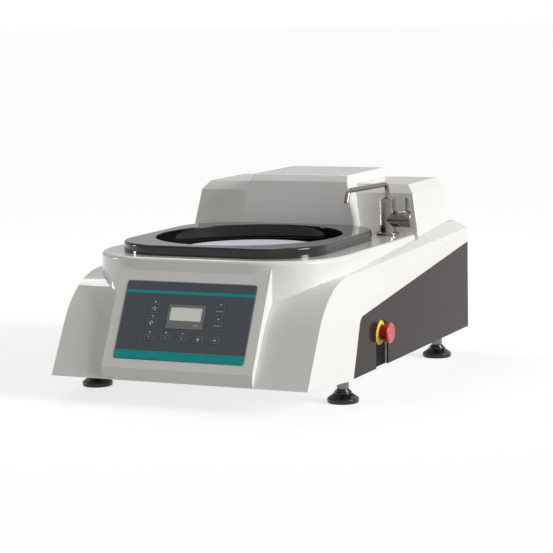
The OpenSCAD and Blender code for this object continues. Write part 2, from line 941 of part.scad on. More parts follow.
module splash_ring() {
    rim = basin_r + basin_rim_w + seat_gap;
    color(black)
        difference() {
            translate([0, 0, deck_z])
                soft_block(ring_half, ring_half, ring_half, ring_corner_r, ring_corner_r - seat_gap, ring_h,
                    ring_edge_r);
            translate([0, 0, deck_z - cut])
                cylinder(r = basin_r, h = ring_h + 2 * cut);
            translate([0, 0, deck_z - cut])
                cylinder(r = rim, h = basin_rim_t + cut);
            translate([0, 0, deck_z + ring_h - ring_bore_edge_r])
                rotate_extrude()
                    difference() {
                        square([basin_r + ring_bore_edge_r, ring_bore_edge_r + cut]);
                        translate([basin_r + ring_bore_edge_r, 0])
                            circle(ring_bore_edge_r);
                    }
        }
}

module basin() {
    floor_z = basin_z + basin_wall;
    outer = basin_r + basin_wall;
    rim = basin_r + basin_rim_w;
    collar_out = collar_r + collar_wall;
    color(black)
        difference() {
            union() {
                rotate_extrude()
                    polygon([[collar_r, basin_z], [outer, basin_z], [outer, deck_z], [rim, deck_z],
                        [rim, deck_z + basin_rim_t], [basin_r, deck_z + basin_rim_t], [basin_r, floor_z],
                        [collar_out, floor_z], [collar_out, collar_top], [collar_r, collar_top]]);
                translate([drain_x, drain_y, basin_z - drain_stub])
                    cylinder(r = drain_r, h = drain_stub + basin_wall / 2);
            }
            translate([drain_x, drain_y, basin_z - drain_stub - cut])
                cylinder(r = drain_bore_r, h = drain_stub + basin_wall + 2 * cut);
        }
}

module platen() {
    color([0.72, 0.73, 0.74])
        difference() {
            translate([0, 0, platen_z])
                rotate_extrude()
                    polygon([[0, 0], [platen_r - platen_chamfer, 0], [platen_r, platen_chamfer],
                        [platen_r, platen_t - platen_chamfer], [platen_r - platen_chamfer, platen_t],
                        [0, platen_t]]);
            for (x = [-1, 1])
                translate([x * platen_hub_r / 2, 0, platen_z - cut])
                    cylinder(r = drive_pin_r, h = drive_pin_h + 2 * cut);
        }
}

module magnetic_mat() {
    color([0.25, 0.24, 0.23])
        translate([0, 0, platen_top])
            cylinder(r = platen_r - platen_chamfer, h = mat_t);
}

module abrasive_disc() {
    color([0.80, 0.83, 0.87])
        translate([0, 0, mat_top])
            cylinder(r = platen_r - platen_chamfer / 2, h = abrasive_t);
}

module platen_hub() {
    color(steel) {
        difference() {
            union() {
                translate([0, 0, platen_hub_z])
                    cylinder(r = platen_hub_r, h = platen_hub_t);
                translate([0, 0, platen_hub_z - skirt_h])
                    pipe(skirt_r + skirt_t, skirt_r, skirt_h + cut);
            }
            translate([0, 0, platen_hub_z - cut])
                cylinder(r = spindle_nose_r, h = platen_hub_t + 2 * cut);
        }
        for (x = [-1, 1])
            translate([x * platen_hub_r / 2, 0, platen_z])
                cylinder(r = drive_pin_r, h = drive_pin_h);
    }
}

module spindle() {
    color(steel) {
        translate([0, 0, pulley_z - spindle_tail])
            cylinder(r = spindle_r, h = platen_hub_z - pulley_z + spindle_tail);
        translate([0, 0, platen_hub_z])
            cylinder(r = spindle_nose_r, h = platen_hub_t);
    }
}

module bearing_housing() {
    color([0.45, 0.47, 0.48])
        difference() {
            union() {
                translate([0, 0, support_top])
                    cylinder(r = housing_flange_r, h = housing_flange_t);
                translate([0, 0, support_top])
                    cylinder(r = housing_r, h = housing_h);
            }
            translate([0, 0, lower_bearing_z])
                cylinder(r = bearing_r, h = housing_h);
            translate([0, 0, support_top - cut])
                cylinder(r = bearing_r - 2 * bearing_rim, h = housing_h);
            for (a = [45:90:315])
                rotate([0, 0, a])
                    translate([housing_bolt_pcr, 0, support_top - cut])
                        cylinder(r = bolt_r, h = housing_flange_t + 2 * cut);
        }
}

// A ball bearing: inner ring, outer ring and shields as one solid of revolution
module bearing(z) {
    bore = spindle_r + running_gap;
    translate([0, 0, z])
        difference() {
            pipe(bearing_r, bore, bearing_w);
            translate([0, 0, bearing_w - bearing_race_gap])
                pipe(bearing_r - bearing_ring_t, bore + bearing_ring_t, 2 * bearing_race_gap);
            translate([0, 0, -bearing_race_gap])
                pipe(bearing_r - bearing_ring_t, bore + bearing_ring_t, 2 * bearing_race_gap);
        }
}

module spindle_bearings() {
    color([0.7, 0.7, 0.72]) {
        bearing(lower_bearing_z);
        bearing(upper_bearing_z);
    }
}

module bearing_cap() {
    color(steel)
        translate([0, 0, cap_z])
            pipe(housing_r, spindle_r + curved_gap, bearing_cap_t);
}

// A pulley with raised lips, a web and a hub, from its lower face
module pulley(r, bore) {
    hub_r = bore + pulley_hub_wall;
    groove = (pulley_w - belt_w) / 2 - curved_gap;
    web = (pulley_w - pulley_web_t) / 2;
    rotate_extrude()
        difference() {
            translate([bore, 0])
                square([r + pulley_lip - bore, pulley_w]);
            translate([r, groove])
                square([2 * pulley_lip, pulley_w - 2 * groove]);
            if (r - pulley_rim_t > hub_r)
                for (z = [-cut, pulley_w - web])
                    translate([hub_r, z])
                        square([r - pulley_rim_t - hub_r, web + cut]);
        }
}

module driven_pulley() {
    color([0.5, 0.52, 0.54])
        translate([0, 0, pulley_z])
            pulley(driven_pulley_r, spindle_r);
}

module motor_pulley() {
    color([0.5, 0.52, 0.54])
        translate([0, motor_y, pulley_z])
            pulley(motor_pulley_r, motor_shaft_r);
}

// Region inside a belt that runs round both pulleys, grown by a distance
module belt_region(grow) {
    a = driven_pulley_r + grow;
    b = motor_pulley_r + grow;
    c = cos(belt_turn);
    s = sin(belt_turn);
    circle(a);
    translate([0, motor_y])
        circle(b);
    polygon([[-a * c, a * s], [a * c, a * s], [b * c, motor_y + b * s], [-b * c, motor_y + b * s]]);
}

module drive_belt() {
    color([0.1, 0.1, 0.1])
        translate([0, 0, belt_z])
            linear_extrude(belt_w)
                difference() {
                    belt_region(curved_gap + belt_t);
                    belt_region(curved_gap);
                }
}

module motor_body() {
    color([0.36, 0.40, 0.43])
        translate([0, motor_y, support_top]) {
            difference() {
                union() {
                    cylinder(r = motor_r + motor_fin_h, h = motor_flange_t);
                    cylinder(r = motor_r, h = motor_flange_t + motor_h);
                    for (i = [0:fin_count - 1])
                        rotate([0, 0, i * 360 / fin_count])
                            translate([motor_r - fin_t, -fin_t / 2, motor_flange_t - cut])
                                cube([motor_fin_h + fin_t, fin_t, motor_h + 2 * cut]);
                    translate([0, 0, motor_flange_t + motor_h])
                        cylinder(r = fan_cover_r, h = fan_cover_h);
                }
                translate([0, 0, -cut])
                    cylinder(r = motor_shaft_r + running_gap, h = motor_flange_t + motor_h / 2);
            }
        }
}

module motor_shaft() {
    color(steel)
        translate([0, motor_y, pulley_z - spindle_tail])
            cylinder(r = motor_shaft_r,
                h = support_top - pulley_z + spindle_tail + motor_flange_t + motor_h / 2 - 2 * cut);
}

module support_plate() {
    color(steel)
        difference() {
            translate([-support_half, -support_front, support_z])
                cube([2 * support_half, support_front + support_rear, support_t]);
            translate([0, 0, support_z - cut])
                cylinder(r = spindle_hole_r, h = support_t + 2 * cut);
            translate([0, motor_y, support_z - cut])
                cylinder(r = shaft_hole_r, h = support_t + 2 * cut);
            for (p = base_screw_places())
                translate([p[0], p[1], support_z - cut])
                    cylinder(r = bolt_r, h = support_t + 2 * cut);
            for (a = [45:90:315])
                rotate([0, 0, a])
                    translate([housing_bolt_pcr, 0, support_z - cut])
                        cylinder(r = bolt_r, h = support_t + 2 * cut);
        }
}

module frame_posts() {
    color(steel)
        for (p = base_screw_places())
            translate([p[0], p[1], base_top])
                pipe(post_r, bolt_r, support_z - base_top);
}

module inverter_box() {
    rib = 3;
    color([0.15, 0.16, 0.17])
        translate([-(body_half - side_wall - inverter_gap), inverter_y, base_top]) {
            cube([inverter_w, inverter_d, inverter_h]);
            for (i = [1:8])
                translate([2 * rib * i, rib, inverter_h - cut])
                    cube([rib, inverter_d - 2 * rib, 2 * rib + cut]);
        }
}

module key_place(k) {
    on_face(k[1] * key_pitch, key_low_v + k[2] * key_row_pitch)
        children();
}

module panel_overlay() {
    color([0.30, 0.32, 0.33])
        difference() {
            on_face(0, overlay_v)
                translate([0, 0, -overlay_sink])
                    round_plate(overlay_w - window_gap, overlay_h - window_gap, overlay_r, overlay_t);
            for (k = KEYS)
                key_place(k)
                    translate([0, 0, -overlay_t])
                        round_plate(key_w + 2 * window_gap, k[3] + 2 * window_gap, key_r + window_gap,
                            3 * overlay_t);
            lamp_shapes(overlay_t);
            on_face(0, bezel_v)
                translate([0, 0, -overlay_t])
                    round_plate(bezel_w - 2 * bezel_rim, bezel_h - 2 * bezel_rim, key_r, 3 * overlay_t);
        }
}

module lamp_shapes(proud) {
    for (k = KEYS)
        if (k[4])
            key_place(k)
                translate([0, k[3] / 2 + lamp_v_gap, -overlay_sink])
                    cylinder(r = lamp_r, h = overlay_sink + proud);
}

module indicator_lamps() {
    color([0.92, 0.93, 0.9])
        lamp_shapes(overlay_top + lamp_proud);
}

module display_bezel() {
    color([0.42, 0.42, 0.41])
        difference() {
            union() {
                on_face(0, bezel_v)
                    translate([0, 0, overlay_top])
                        round_plate(bezel_w, bezel_h, key_r, bezel_proud);
                on_face(0, bezel_v)
                    translate([0, 0, -overlay_sink])
                        round_plate(bezel_w - 2 * bezel_rim, bezel_h - 2 * bezel_rim, key_r,
                            overlay_t + bezel_proud / 2);
            }
            on_face(0, screen_v)
                translate([0, 0, -overlay_t])
                    round_plate(screen_w, screen_h, bezel_rim, 3 * overlay_t);
        }
}

module display_window() {
    color([0.80, 0.81, 0.78])
        on_face(0, screen_v)
            translate([0, 0, overlay_top + bezel_proud - screen_t - seat_gap])
                round_plate(screen_w, screen_h, bezel_rim, screen_t);
}

module control_board() {
    back = overlay_sink + board_gap;
    color([0.10, 0.34, 0.20])
        on_face(0, overlay_v) {
            translate([0, 0, -back - board_t])
                round_plate(board_w - 2 * board_margin, board_h - 2 * board_margin, overlay_r, board_t);
            translate([bezel_rim - screen_w / 2, screen_v - overlay_v + bezel_rim - screen_h / 2, -back])
                cube([screen_w - 2 * bezel_rim, screen_h - 2 * bezel_rim,
                    back + overlay_top + bezel_proud - screen_t - seat_gap]);
            for (x = [-1, 1], y = [-1, 1])
                translate([x * (board_w / 2 - board_margin - board_boss_r),
                    y * (board_h / 2 - board_margin - 2 * board_boss_r), -back])
                    cylinder(r = board_boss_r, h = board_gap);
        }
}

module key(i) {
    k = KEYS[i];
    color([0.24, 0.26, 0.27])
        key_place(k)
            translate([0, 0, -overlay_sink])
                round_plate(key_w, k[3], key_r, key_depth);
}

module estop_bracket() {
    high = notch_z + notch_r + bracket_margin;
    color(black)
        difference() {
            translate([bracket_x - bracket_t, estop_y - notch_r - bracket_margin, foot_h])
                cube([bracket_t, notch_w + 2 * bracket_margin, high - foot_h]);
            on_stop(bracket_x - bracket_t - cut)
                cylinder(r = barrel_r, h = bracket_t + 2 * cut);
        }
}

// Axis of the stop button, out of the right side from a given X
module on_stop(x) {
    translate([x, estop_y, estop_z])
        rotate([0, 90, 0])
            children();
}

module estop_plate() {
    color([0.95, 0.82, 0.05])
        on_stop(bracket_x)
            pipe(estop_plate_r, barrel_r, estop_plate_t);
}

module estop_body() {
    inner = stop_x - barrel_len;
    color([0.16, 0.16, 0.17])
        difference() {
            union() {
                on_stop(inner)
                    cylinder(r = barrel_r, h = barrel_len);
                on_stop(bracket_x - bracket_t - barrel_nut_t)
                    cylinder(r = barrel_nut_r, h = barrel_nut_t);
                translate([inner - block_len, estop_y - block_half, estop_z - block_half])
                    cube([block_len, 2 * block_half, 2 * block_half]);
            }
            on_stop(stop_x - neck_in - estop_travel - cut)
                cylinder(r = barrel_bore_r, h = neck_in + estop_travel + 2 * cut);
            on_stop(inner - block_len / 2)
                cylinder(r = stem_r + 2 * running_gap, h = barrel_len + block_len);
        }
}

module estop_stem() {
    color(steel)
        on_stop(stop_x - neck_in + stem_in - stem_len)
            cylinder(r = stem_r, h = stem_len);
}

module estop_head() {
    face = head_h - head_dome;
    color([0.80, 0.06, 0.08])
        difference() {
            on_stop(stop_x)
                rotate_extrude()
                    polygon([[0, -neck_in], [estop_neck_r, -neck_in], [estop_neck_r, face - head_flare],
                        [estop_head_r, face - head_rim], [estop_head_r, face],
                        [estop_head_r - head_dome, head_h], [0, head_h]]);
            on_stop(stop_x - neck_in - cut)
                cylinder(r = stem_r + running_gap, h = stem_in + cut + seat_gap);
        }
}

module at_faucet(z = deck_z) {
    translate([faucet_x, faucet_y, z])
        children();
}

module faucet_column() {
    color([0.42, 0.41, 0.40])
        difference() {
            at_faucet() {
                cylinder(r = faucet_flange_r, h = faucet_flange_t);
                cylinder(r = column_r, h = column_h);
                translate([0, 0, -shank_len])
                    cylinder(r = shank_r, h = shank_len + cut);
                translate([0, 0, -shank_len - barb_len])
                    cylinder(r = inlet_r, h = barb_len + cut);
                translate([0, 0, valve_h])
                    rotate([0, 90, 0])
                        cylinder(r = valve_r, h = valve_len);
            }
            at_faucet()
                translate([0, 0, column_h - socket_depth])
                    cylinder(r = spout_r + running_gap, h = socket_depth + cut);
            at_faucet()
                translate([0, 0, -shank_len - barb_len - cut])
                    cylinder(r = inlet_bore_r, h = shank_len + barb_len + column_h);
            at_faucet()
                translate([valve_len - handle_len / 2, 0, valve_h])
                    rotate([0, 90, 0])
                        cylinder(r = shank_r + running_gap, h = handle_len);
        }
}

module faucet_nut() {
    color(steel)
        at_faucet(deck_z - wall - nut_h)
            difference() {
                cylinder(r = nut_w / sqrt(3), h = nut_h, $fn = 6);
                translate([0, 0, -cut])
                    cylinder(r = shank_r, h = nut_h + 2 * cut);
            }
}

module faucet_handle() {
    color([0.42, 0.41, 0.40])
        at_faucet(deck_z + valve_h) {
            translate([valve_len + seat_gap, 0, 0])
                rotate([0, 90, 0])
                    cylinder(r = handle_r, h = handle_len);
            translate([valve_len - handle_len / 2 + curved_gap, 0, 0])
                rotate([0, 90, 0])
                    cylinder(r = shank_r, h = handle_len / 2 + cut);
            translate([valve_len + lever_root, 0, 0])
                cylinder(r = lever_r, h = handle_r + lever_len);
        }
}

module spout_piece(r) {
    drop = spout_h - spout_bend_r;
    foot = column_h - spout_foot;
    translate([0, 0, foot])
        cylinder(r = r, h = drop - foot);
    translate([spout_bend_r, 0, drop])
        rotate([90, 0, 0])
            rotate([0, 0, 90])
                rotate_extrude(angle = 90)
                    translate([spout_bend_r, 0])
                        circle(r);
    translate([spout_bend_r, 0, spout_h])
        rotate([0, 90, 0])
            cylinder(r = r, h = spout_len - spout_bend_r);
    translate([spout_len, 0, spout_h - tip_bend_r]) {
        rotate([90, 0, 0])
            rotate([0, 0, 90 - tip_angle])
                rotate_extrude(angle = tip_angle)
                    translate([tip_bend_r, 0])
                        circle(r);
        rotate([0, tip_angle, 0])
            translate([0, 0, tip_bend_r])
                rotate([0, 90, 0])
                    cylinder(r = r, h = tip_len);
    }
}

module faucet_spout() {
    color([0.55, 0.53, 0.52])
        at_faucet()
            rotate([0, 0, spout_angle])
                difference() {
                    spout_piece(spout_r);
                    spout_piece(spout_bore_r);
                    translate([0, 0, column_h - spout_foot - cut])
                        cylinder(r = spout_bore_r, h = 2 * cut);
                    translate([spout_len, 0, spout_h - tip_bend_r])
                        rotate([0, tip_angle, 0])
                            translate([tip_len - cut, 0, tip_bend_r])
                                rotate([0, 90, 0])
                                    cylinder(r = spout_bore_r, h = 2 * cut);
                }
}

// A spigot through the back panel: grooved outer stub, flange and hose end inside
module spigot(x, z, r, bore) {
    difference() {
        translate([x, body_rear + spigot_len, z])
            rotate([90, 0, 0])
                pipe(r, bore, spigot_len + back_t + hose_grip + cut);
        for (i = [1:3])
            translate([x, body_rear + spigot_len - i * spigot_flange_r, z])
                rotate([90, 0, 0])
                    pipe(r + cut, r - spigot_groove, spigot_flange_t);
    }
    translate([x, body_rear + spigot_flange_t, z])
        rotate([90, 0, 0])
            pipe(r + spigot_flange_r, bore, spigot_flange_t);
}

module water_inlet() {
    color([0.72, 0.60, 0.34])
        spigot(faucet_x, inlet_z, inlet_r, inlet_bore_r);
}

module drain_spigot() {
    color([0.55, 0.55, 0.56])
        spigot(drain_x, drain_z, drain_r, drain_bore_r);
}

// A hose that drops from one stub, bends once and runs back to a spigot
module hose_solid(x, y, top, z, bend, r) {
    rear = body_rear - back_t - cut;
    translate([x, y, z + bend])
        cylinder(r = r, h = top - z - bend);
    translate([x, y + bend, z + bend])
        rotate([0, 90, 0])
            rotate([0, 0, -90])
                rotate_extrude(angle = 90)
                    translate([bend, 0])
                        circle(r);
    translate([x, y + bend, z])
        rotate([-90, 0, 0])
            cylinder(r = r, h = rear - y - bend);
}

module hose(x, y, top, z, bend, bore) {
    rear = body_rear - back_t - cut;
    difference() {
        hose_solid(x, y, top, z, bend, bore + hose_wall);
        hose_solid(x, y, top, z, bend, bore);
        translate([x, y, top - cut])
            cylinder(r = bore, h = 2 * cut);
        translate([x, rear - cut, z])
            rotate([-90, 0, 0])
                cylinder(r = bore, h = 2 * cut);
    }
}

module water_hose() {
    color([0.75, 0.78, 0.80])
        hose(faucet_x, faucet_y, deck_z - shank_len - seat_gap, inlet_z, inlet_bend_r, inlet_r);
}

module drain_hose() {
    color([0.25, 0.25, 0.26])
        hose(drain_x, drain_y, basin_z - seat_gap, drain_z, hose_bend_r, drain_r);
}

// Outline of the power inlet's socket, with two cut corners
module socket_outline() {
    nick = socket_hole_h / 4;
    w = socket_hole_w / 2;
    h = socket_hole_h / 2;
    polygon([[-w, -h], [w, -h], [w, h - nick], [w - nick, h], [nick - w, h], [-w, h - nick]]);
}

module power_inlet() {
    color(black) {
        difference() {
            union() {
                translate([socket_x - socket_w / 2, body_rear, socket_z - socket_h / 2])
                    cube([socket_w, flange_t, socket_h]);
                translate([socket_x - socket_w / 2 + 2 * switch_rim, body_rear - socket_depth_y + flange_t,
                    socket_z - socket_h / 2 + switch_rim])
                    cube([socket_w - 4 * switch_rim, socket_depth_y, socket_h - 2 * switch_rim]);
            }
            translate([socket_x, body_rear + flange_t + cut, socket_z])
                rotate([90, 0, 0])
                    linear_extrude(socket_hole_d + cut)
                        socket_outline();
            for (s = [-1, 1])
                translate([socket_x + s * (socket_w / 2 - 2 * switch_rim), body_rear + flange_t + cut,
                    socket_z])
                    rotate([90, 0, 0])
                        cylinder(r = screw_r, h = flange_t + 2 * cut);
        }
        for (p = [[-1, -1], [0, 1], [1, -1]])
            translate([socket_x + p[0] * socket_pin_gap - socket_pin_w / 2,
                body_rear + flange_t - socket_hole_d - cut,
                socket_z + (p[1] * socket_pin_rise - 1) * socket_pin_h / 2])
                cube([socket_pin_w, socket_pin_len + cut, socket_pin_h]);
    }
}

module switch_frame() {
    inner_w = switch_w - 2 * switch_wall;
    inner_h = switch_h - 2 * switch_wall;
    color(black)
        translate([switch_x, body_rear, socket_z])
            difference() {
                union() {
                    translate([-switch_w / 2 - switch_rim, 0, -switch_h / 2 - switch_rim])
                        cube([switch_w + 2 * switch_rim, flange_t, switch_h + 2 * switch_rim]);
                    translate([-switch_w / 2, -switch_d, -switch_h / 2])
                        cube([switch_w, switch_d + flange_t / 2, switch_h]);
                }
                translate([-inner_w / 2, switch_wall - switch_d, -inner_h / 2])
                    cube([inner_w, switch_d + flange_t, inner_h]);
                translate([-switch_w / 2 - cut, -switch_in, 0])
                    rotate([0, 90, 0])
                        cylinder(r = switch_pin_r + running_gap, h = switch_w + 2 * cut);
            }
}

module power_switch() {
    half = switch_w / 2 - switch_wall - curved_gap;
    high = switch_h - 2 * switch_wall - 2 * rocker_play;
    color([0.05, 0.05, 0.05])
        translate([switch_x, body_rear - switch_in, socket_z])
            rotate([-rocker_tilt, 0, 0]) {
                translate([-half, -rocker_in, -high / 2])
                    cube([2 * half, rocker_in + rocker_out, high]);
                translate([curved_gap - switch_w / 2, 0, 0])
                    rotate([0, 90, 0])
                        cylinder(r = switch_pin_r, h = switch_w - 2 * curved_gap);
            }
}

// A levelling foot: base with cone, and a screw with a hexagon; side and row are -1 or 1
module foot(side, y) {
    hex_z = foot_base_t + foot_cone_h + foot_neck_h;
    translate([side * foot_x, y, 0]) {
        color(black)
            rotate_extrude()
                polygon([[0, 0], [foot_r, 0], [foot_r, foot_base_t],
                    [foot_cone_r, foot_base_t + foot_cone_h], [foot_neck_r, foot_base_t + foot_cone_h],
                    [foot_neck_r, hex_z - seat_gap], [0, hex_z - seat_gap]]);
        color(steel) {
            translate([0, 0, hex_z - seat_gap])
                cylinder(r = foot_hex_w / sqrt(3), h = foot_h - hex_z, $fn = 6);
            translate([0, 0, foot_h - 2 * cut])
                cylinder(r = foot_screw_r, h = foot_screw_up);
        }
    }
}

module screws() {
    color(steel) {
        for (s = screw_places())
            translate([s[0], body_rear, s[1]])
                rotate([-90, 0, 0])
                    bolt(screw_r, screw_head_r, screw_head_h, screw_len);
        for (p = base_screw_places()) {
            translate([p[0], p[1], support_top])
                bolt(bolt_r, bolt_head_r, bolt_head_h, bolt_head_h * 4);
            translate([p[0], p[1], foot_h])
                rotate([180, 0, 0])
                    bolt(bolt_r, bolt_head_r, bolt_head_h, bolt_head_h * 4);
        }
        for (a = [45:90:315])
            rotate([0, 0, a])
                translate([housing_bolt_pcr, 0, support_top + housing_flange_t])
                    bolt(bolt_r, bolt_head_r, bolt_head_h, housing_flange_t + support_t);
    }
}

in_frame() {
    body_shell();
    rear_cover();
    side_panel_right();
    side_panel_left();
    back_panel();
    base_plate();
    splash_ring();
    basin();
    platen();
    magnetic_mat();
    abrasive_disc();
    platen_hub();
    spindle();
    bearing_housing();
    spindle_bearings();
    bearing_cap();
    driven_pulley();
    drive_belt();
    motor_pulley();
    motor_body();
    motor_shaft();
    support_plate();
    frame_posts();
    inverter_box();
    panel_overlay();
    display_bezel();
    display_window();
    control_board();
    key(0);  // key_forward
    key(1);  // key_reverse
    key(2);  // key_speed_1
    key(3);  // key_speed_2
    key(4);  // key_speed_3
    key(5);  // key_plus
    key(6);  // key_minus
    key(7);  // key_start
    key(8);  // key_stop
    indicator_lamps();
    estop_bracket();
    estop_plate();
    estop_body();
    estop_stem();
    estop_head();
    faucet_column();
    faucet_nut();
    faucet_handle();
    faucet_spout();
    water_inlet();
    water_hose();
    drain_spigot();
    drain_hose();
    power_inlet();
    switch_frame();
    power_switch();
    foot(-1, -foot_front_y);  // foot_front_left
    foot(1, -foot_front_y);  // foot_front_right
    foot(-1, foot_rear_y);  // foot_rear_left
    foot(1, foot_rear_y);  // foot_rear_right
    screws();
}
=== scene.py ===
# Looks of a benchtop grinder-polisher: finishes, edges, tap, stop button, keys, feet and studio
import json
import math

import bmesh
import bpy
from mathutils import Matrix, Vector


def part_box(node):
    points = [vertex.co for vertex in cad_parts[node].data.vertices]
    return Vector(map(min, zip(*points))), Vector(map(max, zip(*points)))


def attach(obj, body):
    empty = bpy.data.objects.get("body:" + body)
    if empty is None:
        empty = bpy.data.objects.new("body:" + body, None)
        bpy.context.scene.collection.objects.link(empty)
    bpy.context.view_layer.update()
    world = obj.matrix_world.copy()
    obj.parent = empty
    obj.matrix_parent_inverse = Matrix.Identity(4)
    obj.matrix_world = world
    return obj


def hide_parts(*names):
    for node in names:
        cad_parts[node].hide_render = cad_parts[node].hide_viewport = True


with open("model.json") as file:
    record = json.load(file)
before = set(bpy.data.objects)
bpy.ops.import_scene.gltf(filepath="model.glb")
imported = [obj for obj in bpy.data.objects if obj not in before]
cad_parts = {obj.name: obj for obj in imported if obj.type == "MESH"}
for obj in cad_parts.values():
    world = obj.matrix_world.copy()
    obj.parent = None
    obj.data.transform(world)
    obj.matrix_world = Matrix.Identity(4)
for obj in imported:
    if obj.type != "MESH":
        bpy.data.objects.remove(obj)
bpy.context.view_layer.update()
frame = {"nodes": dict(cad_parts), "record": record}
SLOT_OF = {s["node"]: s["material_slot"] for s in frame["record"]["subparts"]}
MM = 0.001


def middle(node):
    low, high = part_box(node)
    return (low + high) / 2


# The platen's axis on the floor is the origin of the machine's own coordinates
AXIS = Vector((middle("platen").x, middle("platen").y, 0))


def at(x, y, z):
    """A place in millimetres from the platen's axis and the floor, in metres in the frame."""
    return AXIS + Vector((x, y, z)) * MM


# Sizes of the machine, in millimetres
FACE_LEAN = math.radians(26.8)
FACE_V, FACE_Z = 80.5, 62.0
BODY_FRONT = 279.5
DISC_Z = 221.6
OVERLAY_W, OVERLAY_H, OVERLAY_R = 228.7, 130.7, 5.0
BEZEL_V, BEZEL_W, BEZEL_H, BEZEL_R = 88.1, 64.4, 39.4, 2.4
KEY_PITCH, KEY_ROW, KEY_ROWS_DOWN = 28.8, 23.7, 1.19
KEY_V = FACE_V - KEY_ROW * KEY_ROWS_DOWN
KEY_W, KEY_LOW, KEY_TALL, KEY_R = 16.0, 10.5, 15.6, 2.4
STRIPE_V, STRIPE_H, STRIPE_R = 127.6, 4.8, 0.3
BAND_V, BAND_H, BAND_R = 22.4, 14.8, 0.4
TAP_X, TAP_Y = 173.0, 191.0
DECK_Z, VALVE_Z, COLUMN_Z, SPOUT_Z = 228.0, 256.0, 292.0, 316.0
SPOUT_R, SPOUT_BORE, SPOUT_ANGLE = 4.1, 2.8, math.radians(-96.5)
STOP_X, STOP_Y, STOP_Z = 246.0, -36.0, 97.0
FOOT_X, FOOT_YS = 222.0, (-136.0, 299.0)

# Heights between which print lies over the control face: on the overlay, and on keys and bezel
OVERLAY_PRINT = (0.58, 0.65)
RAISED_PRINT = (1.15, 1.24)


# Colours and finishes

def linear(hex_colour):
    """An sRGB colour such as #b0b0aa in linear values, with alpha."""
    parts = [int(hex_colour[i:i + 2], 16) / 255 for i in (1, 3, 5)]
    return [p / 12.92 if p < 0.04045 else ((p + 0.055) / 1.055) ** 2.4 for p in parts] + [1.0]


class Graph:
    """A material's node tree, with short calls to add nodes and join them."""

    def __init__(self, name):
        self.material = bpy.data.materials.new(name)
        self.material.use_nodes = True
        self.tree = self.material.node_tree
        self.shader = self.tree.nodes["Principled BSDF"]
        self.place = self.node("ShaderNodeTexCoord").outputs["Object"]

    def node(self, kind, **values):
        made = self.tree.nodes.new(kind)
        for key, value in values.items():
            setattr(made, key, value)
        return made

    def join(self, output, socket):
        self.tree.links.new(output, socket)

    def set(self, **values):
        for key, value in values.items():
            self.shader.inputs[key.replace("_", " ")].default_value = value

    def mapped(self, stretch):
        made = self.node("ShaderNodeMapping")
        made.inputs["Scale"].default_value = stretch
        self.join(self.place, made.inputs["Vector"])
        return made.outputs["Vector"]

    def noise(self, scale, detail=3.0, stretch=None):
        made = self.node("ShaderNodeTexNoise")
        made.inputs["Scale"].default_value = scale
        made.inputs["Detail"].default_value = detail
        self.join(self.mapped(stretch) if stretch else self.place, made.inputs["Vector"])
        return made.outputs["Fac"]

    def cells(self, scale, feature="F1"):
        made = self.node("ShaderNodeTexVoronoi", feature=feature)
        made.inputs["Scale"].default_value = scale
        self.join(self.place, made.inputs["Vector"])
        return made.outputs["Distance"]

    def ramp(self, factor, stops):
        made = self.node("ShaderNodeValToRGB")
        points = made.color_ramp.elements
        while len(points) < len(stops):
            points.new(0.5)
        for point, (where, colour) in zip(points, stops):
            point.position = where
            point.color = colour
        self.join(factor, made.inputs["Fac"])
        return made.outputs["Color"]

    def span(self, factor, low, high, to_low, to_high):
        made = self.node("ShaderNodeMapRange")
        for key, value in (("From Min", low), ("From Max", high), ("To Min", to_low), ("To Max", to_high)):
            made.inputs[key].default_value = value
        self.join(factor, made.inputs["Value"])
        return made.outputs["Result"]

    def colour(self, factor, stops):
        self.join(self.ramp(factor, stops), self.shader.inputs["Base Color"])

    def rough(self, factor, low, high):
        self.join(self.span(factor, 0.3, 0.7, low, high), self.shader.inputs["Roughness"])

    def bump(self, heights, strength=0.2, distance=0.0001):
        """Bump from several heights, one after another."""
        normal = None
        for height in heights:
            made = self.node("ShaderNodeBump")
            made.inputs["Strength"].default_value = strength
            made.inputs["Distance"].default_value = distance
            self.join(height, made.inputs["Height"])
            if normal:
                self.join(normal, made.inputs["Normal"])
            normal = made.outputs["Normal"]
        self.join(normal, self.shader.inputs["Normal"])


def shade(colour, factor):
    return [c * factor for c in colour[:3]] + [1.0]


def paint(name, hex_colour, rough=0.34, peel=260.0, drift=0.03, coat=0.25, coat_rough=0.16):
    """Sprayed paint: faint drift of tone, orange peel and a thin clear coat."""
    g = Graph(name)
    base = linear(hex_colour)
    cloud = g.noise(7.0, 4.0)
    g.colour(cloud, [(0.3, shade(base, 1 - drift)), (0.7, shade(base, 1 + drift / 2))])
    g.rough(g.noise(60.0, 5.0), rough - 0.04, rough + 0.06)
    g.set(Coat_Weight=coat, Coat_Roughness=coat_rough, Specular_IOR_Level=0.35)
    g.bump([g.noise(peel, 2.0), g.noise(peel * 5, 2.0)], 0.05, 0.00010)
    return g.material


def moulded(name, hex_colour, rough=0.45, grain=900.0, relief=0.12, drift=0.06, coat=0.0, gloss=0.5):
    """Moulded plastic or rubber with a fine eroded grain."""
    g = Graph(name)
    base = linear(hex_colour)
    g.colour(g.noise(35.0, 5.0), [(0.3, shade(base, 1 - drift)), (0.7, shade(base, 1 + drift))])
    g.rough(g.noise(180.0, 4.0), rough - 0.05, rough + 0.07)
    g.set(Coat_Weight=coat, Coat_Roughness=0.05, Specular_IOR_Level=gloss)
    g.bump([g.cells(grain), g.noise(grain / 3, 3.0)], relief, 0.00008)
    return g.material


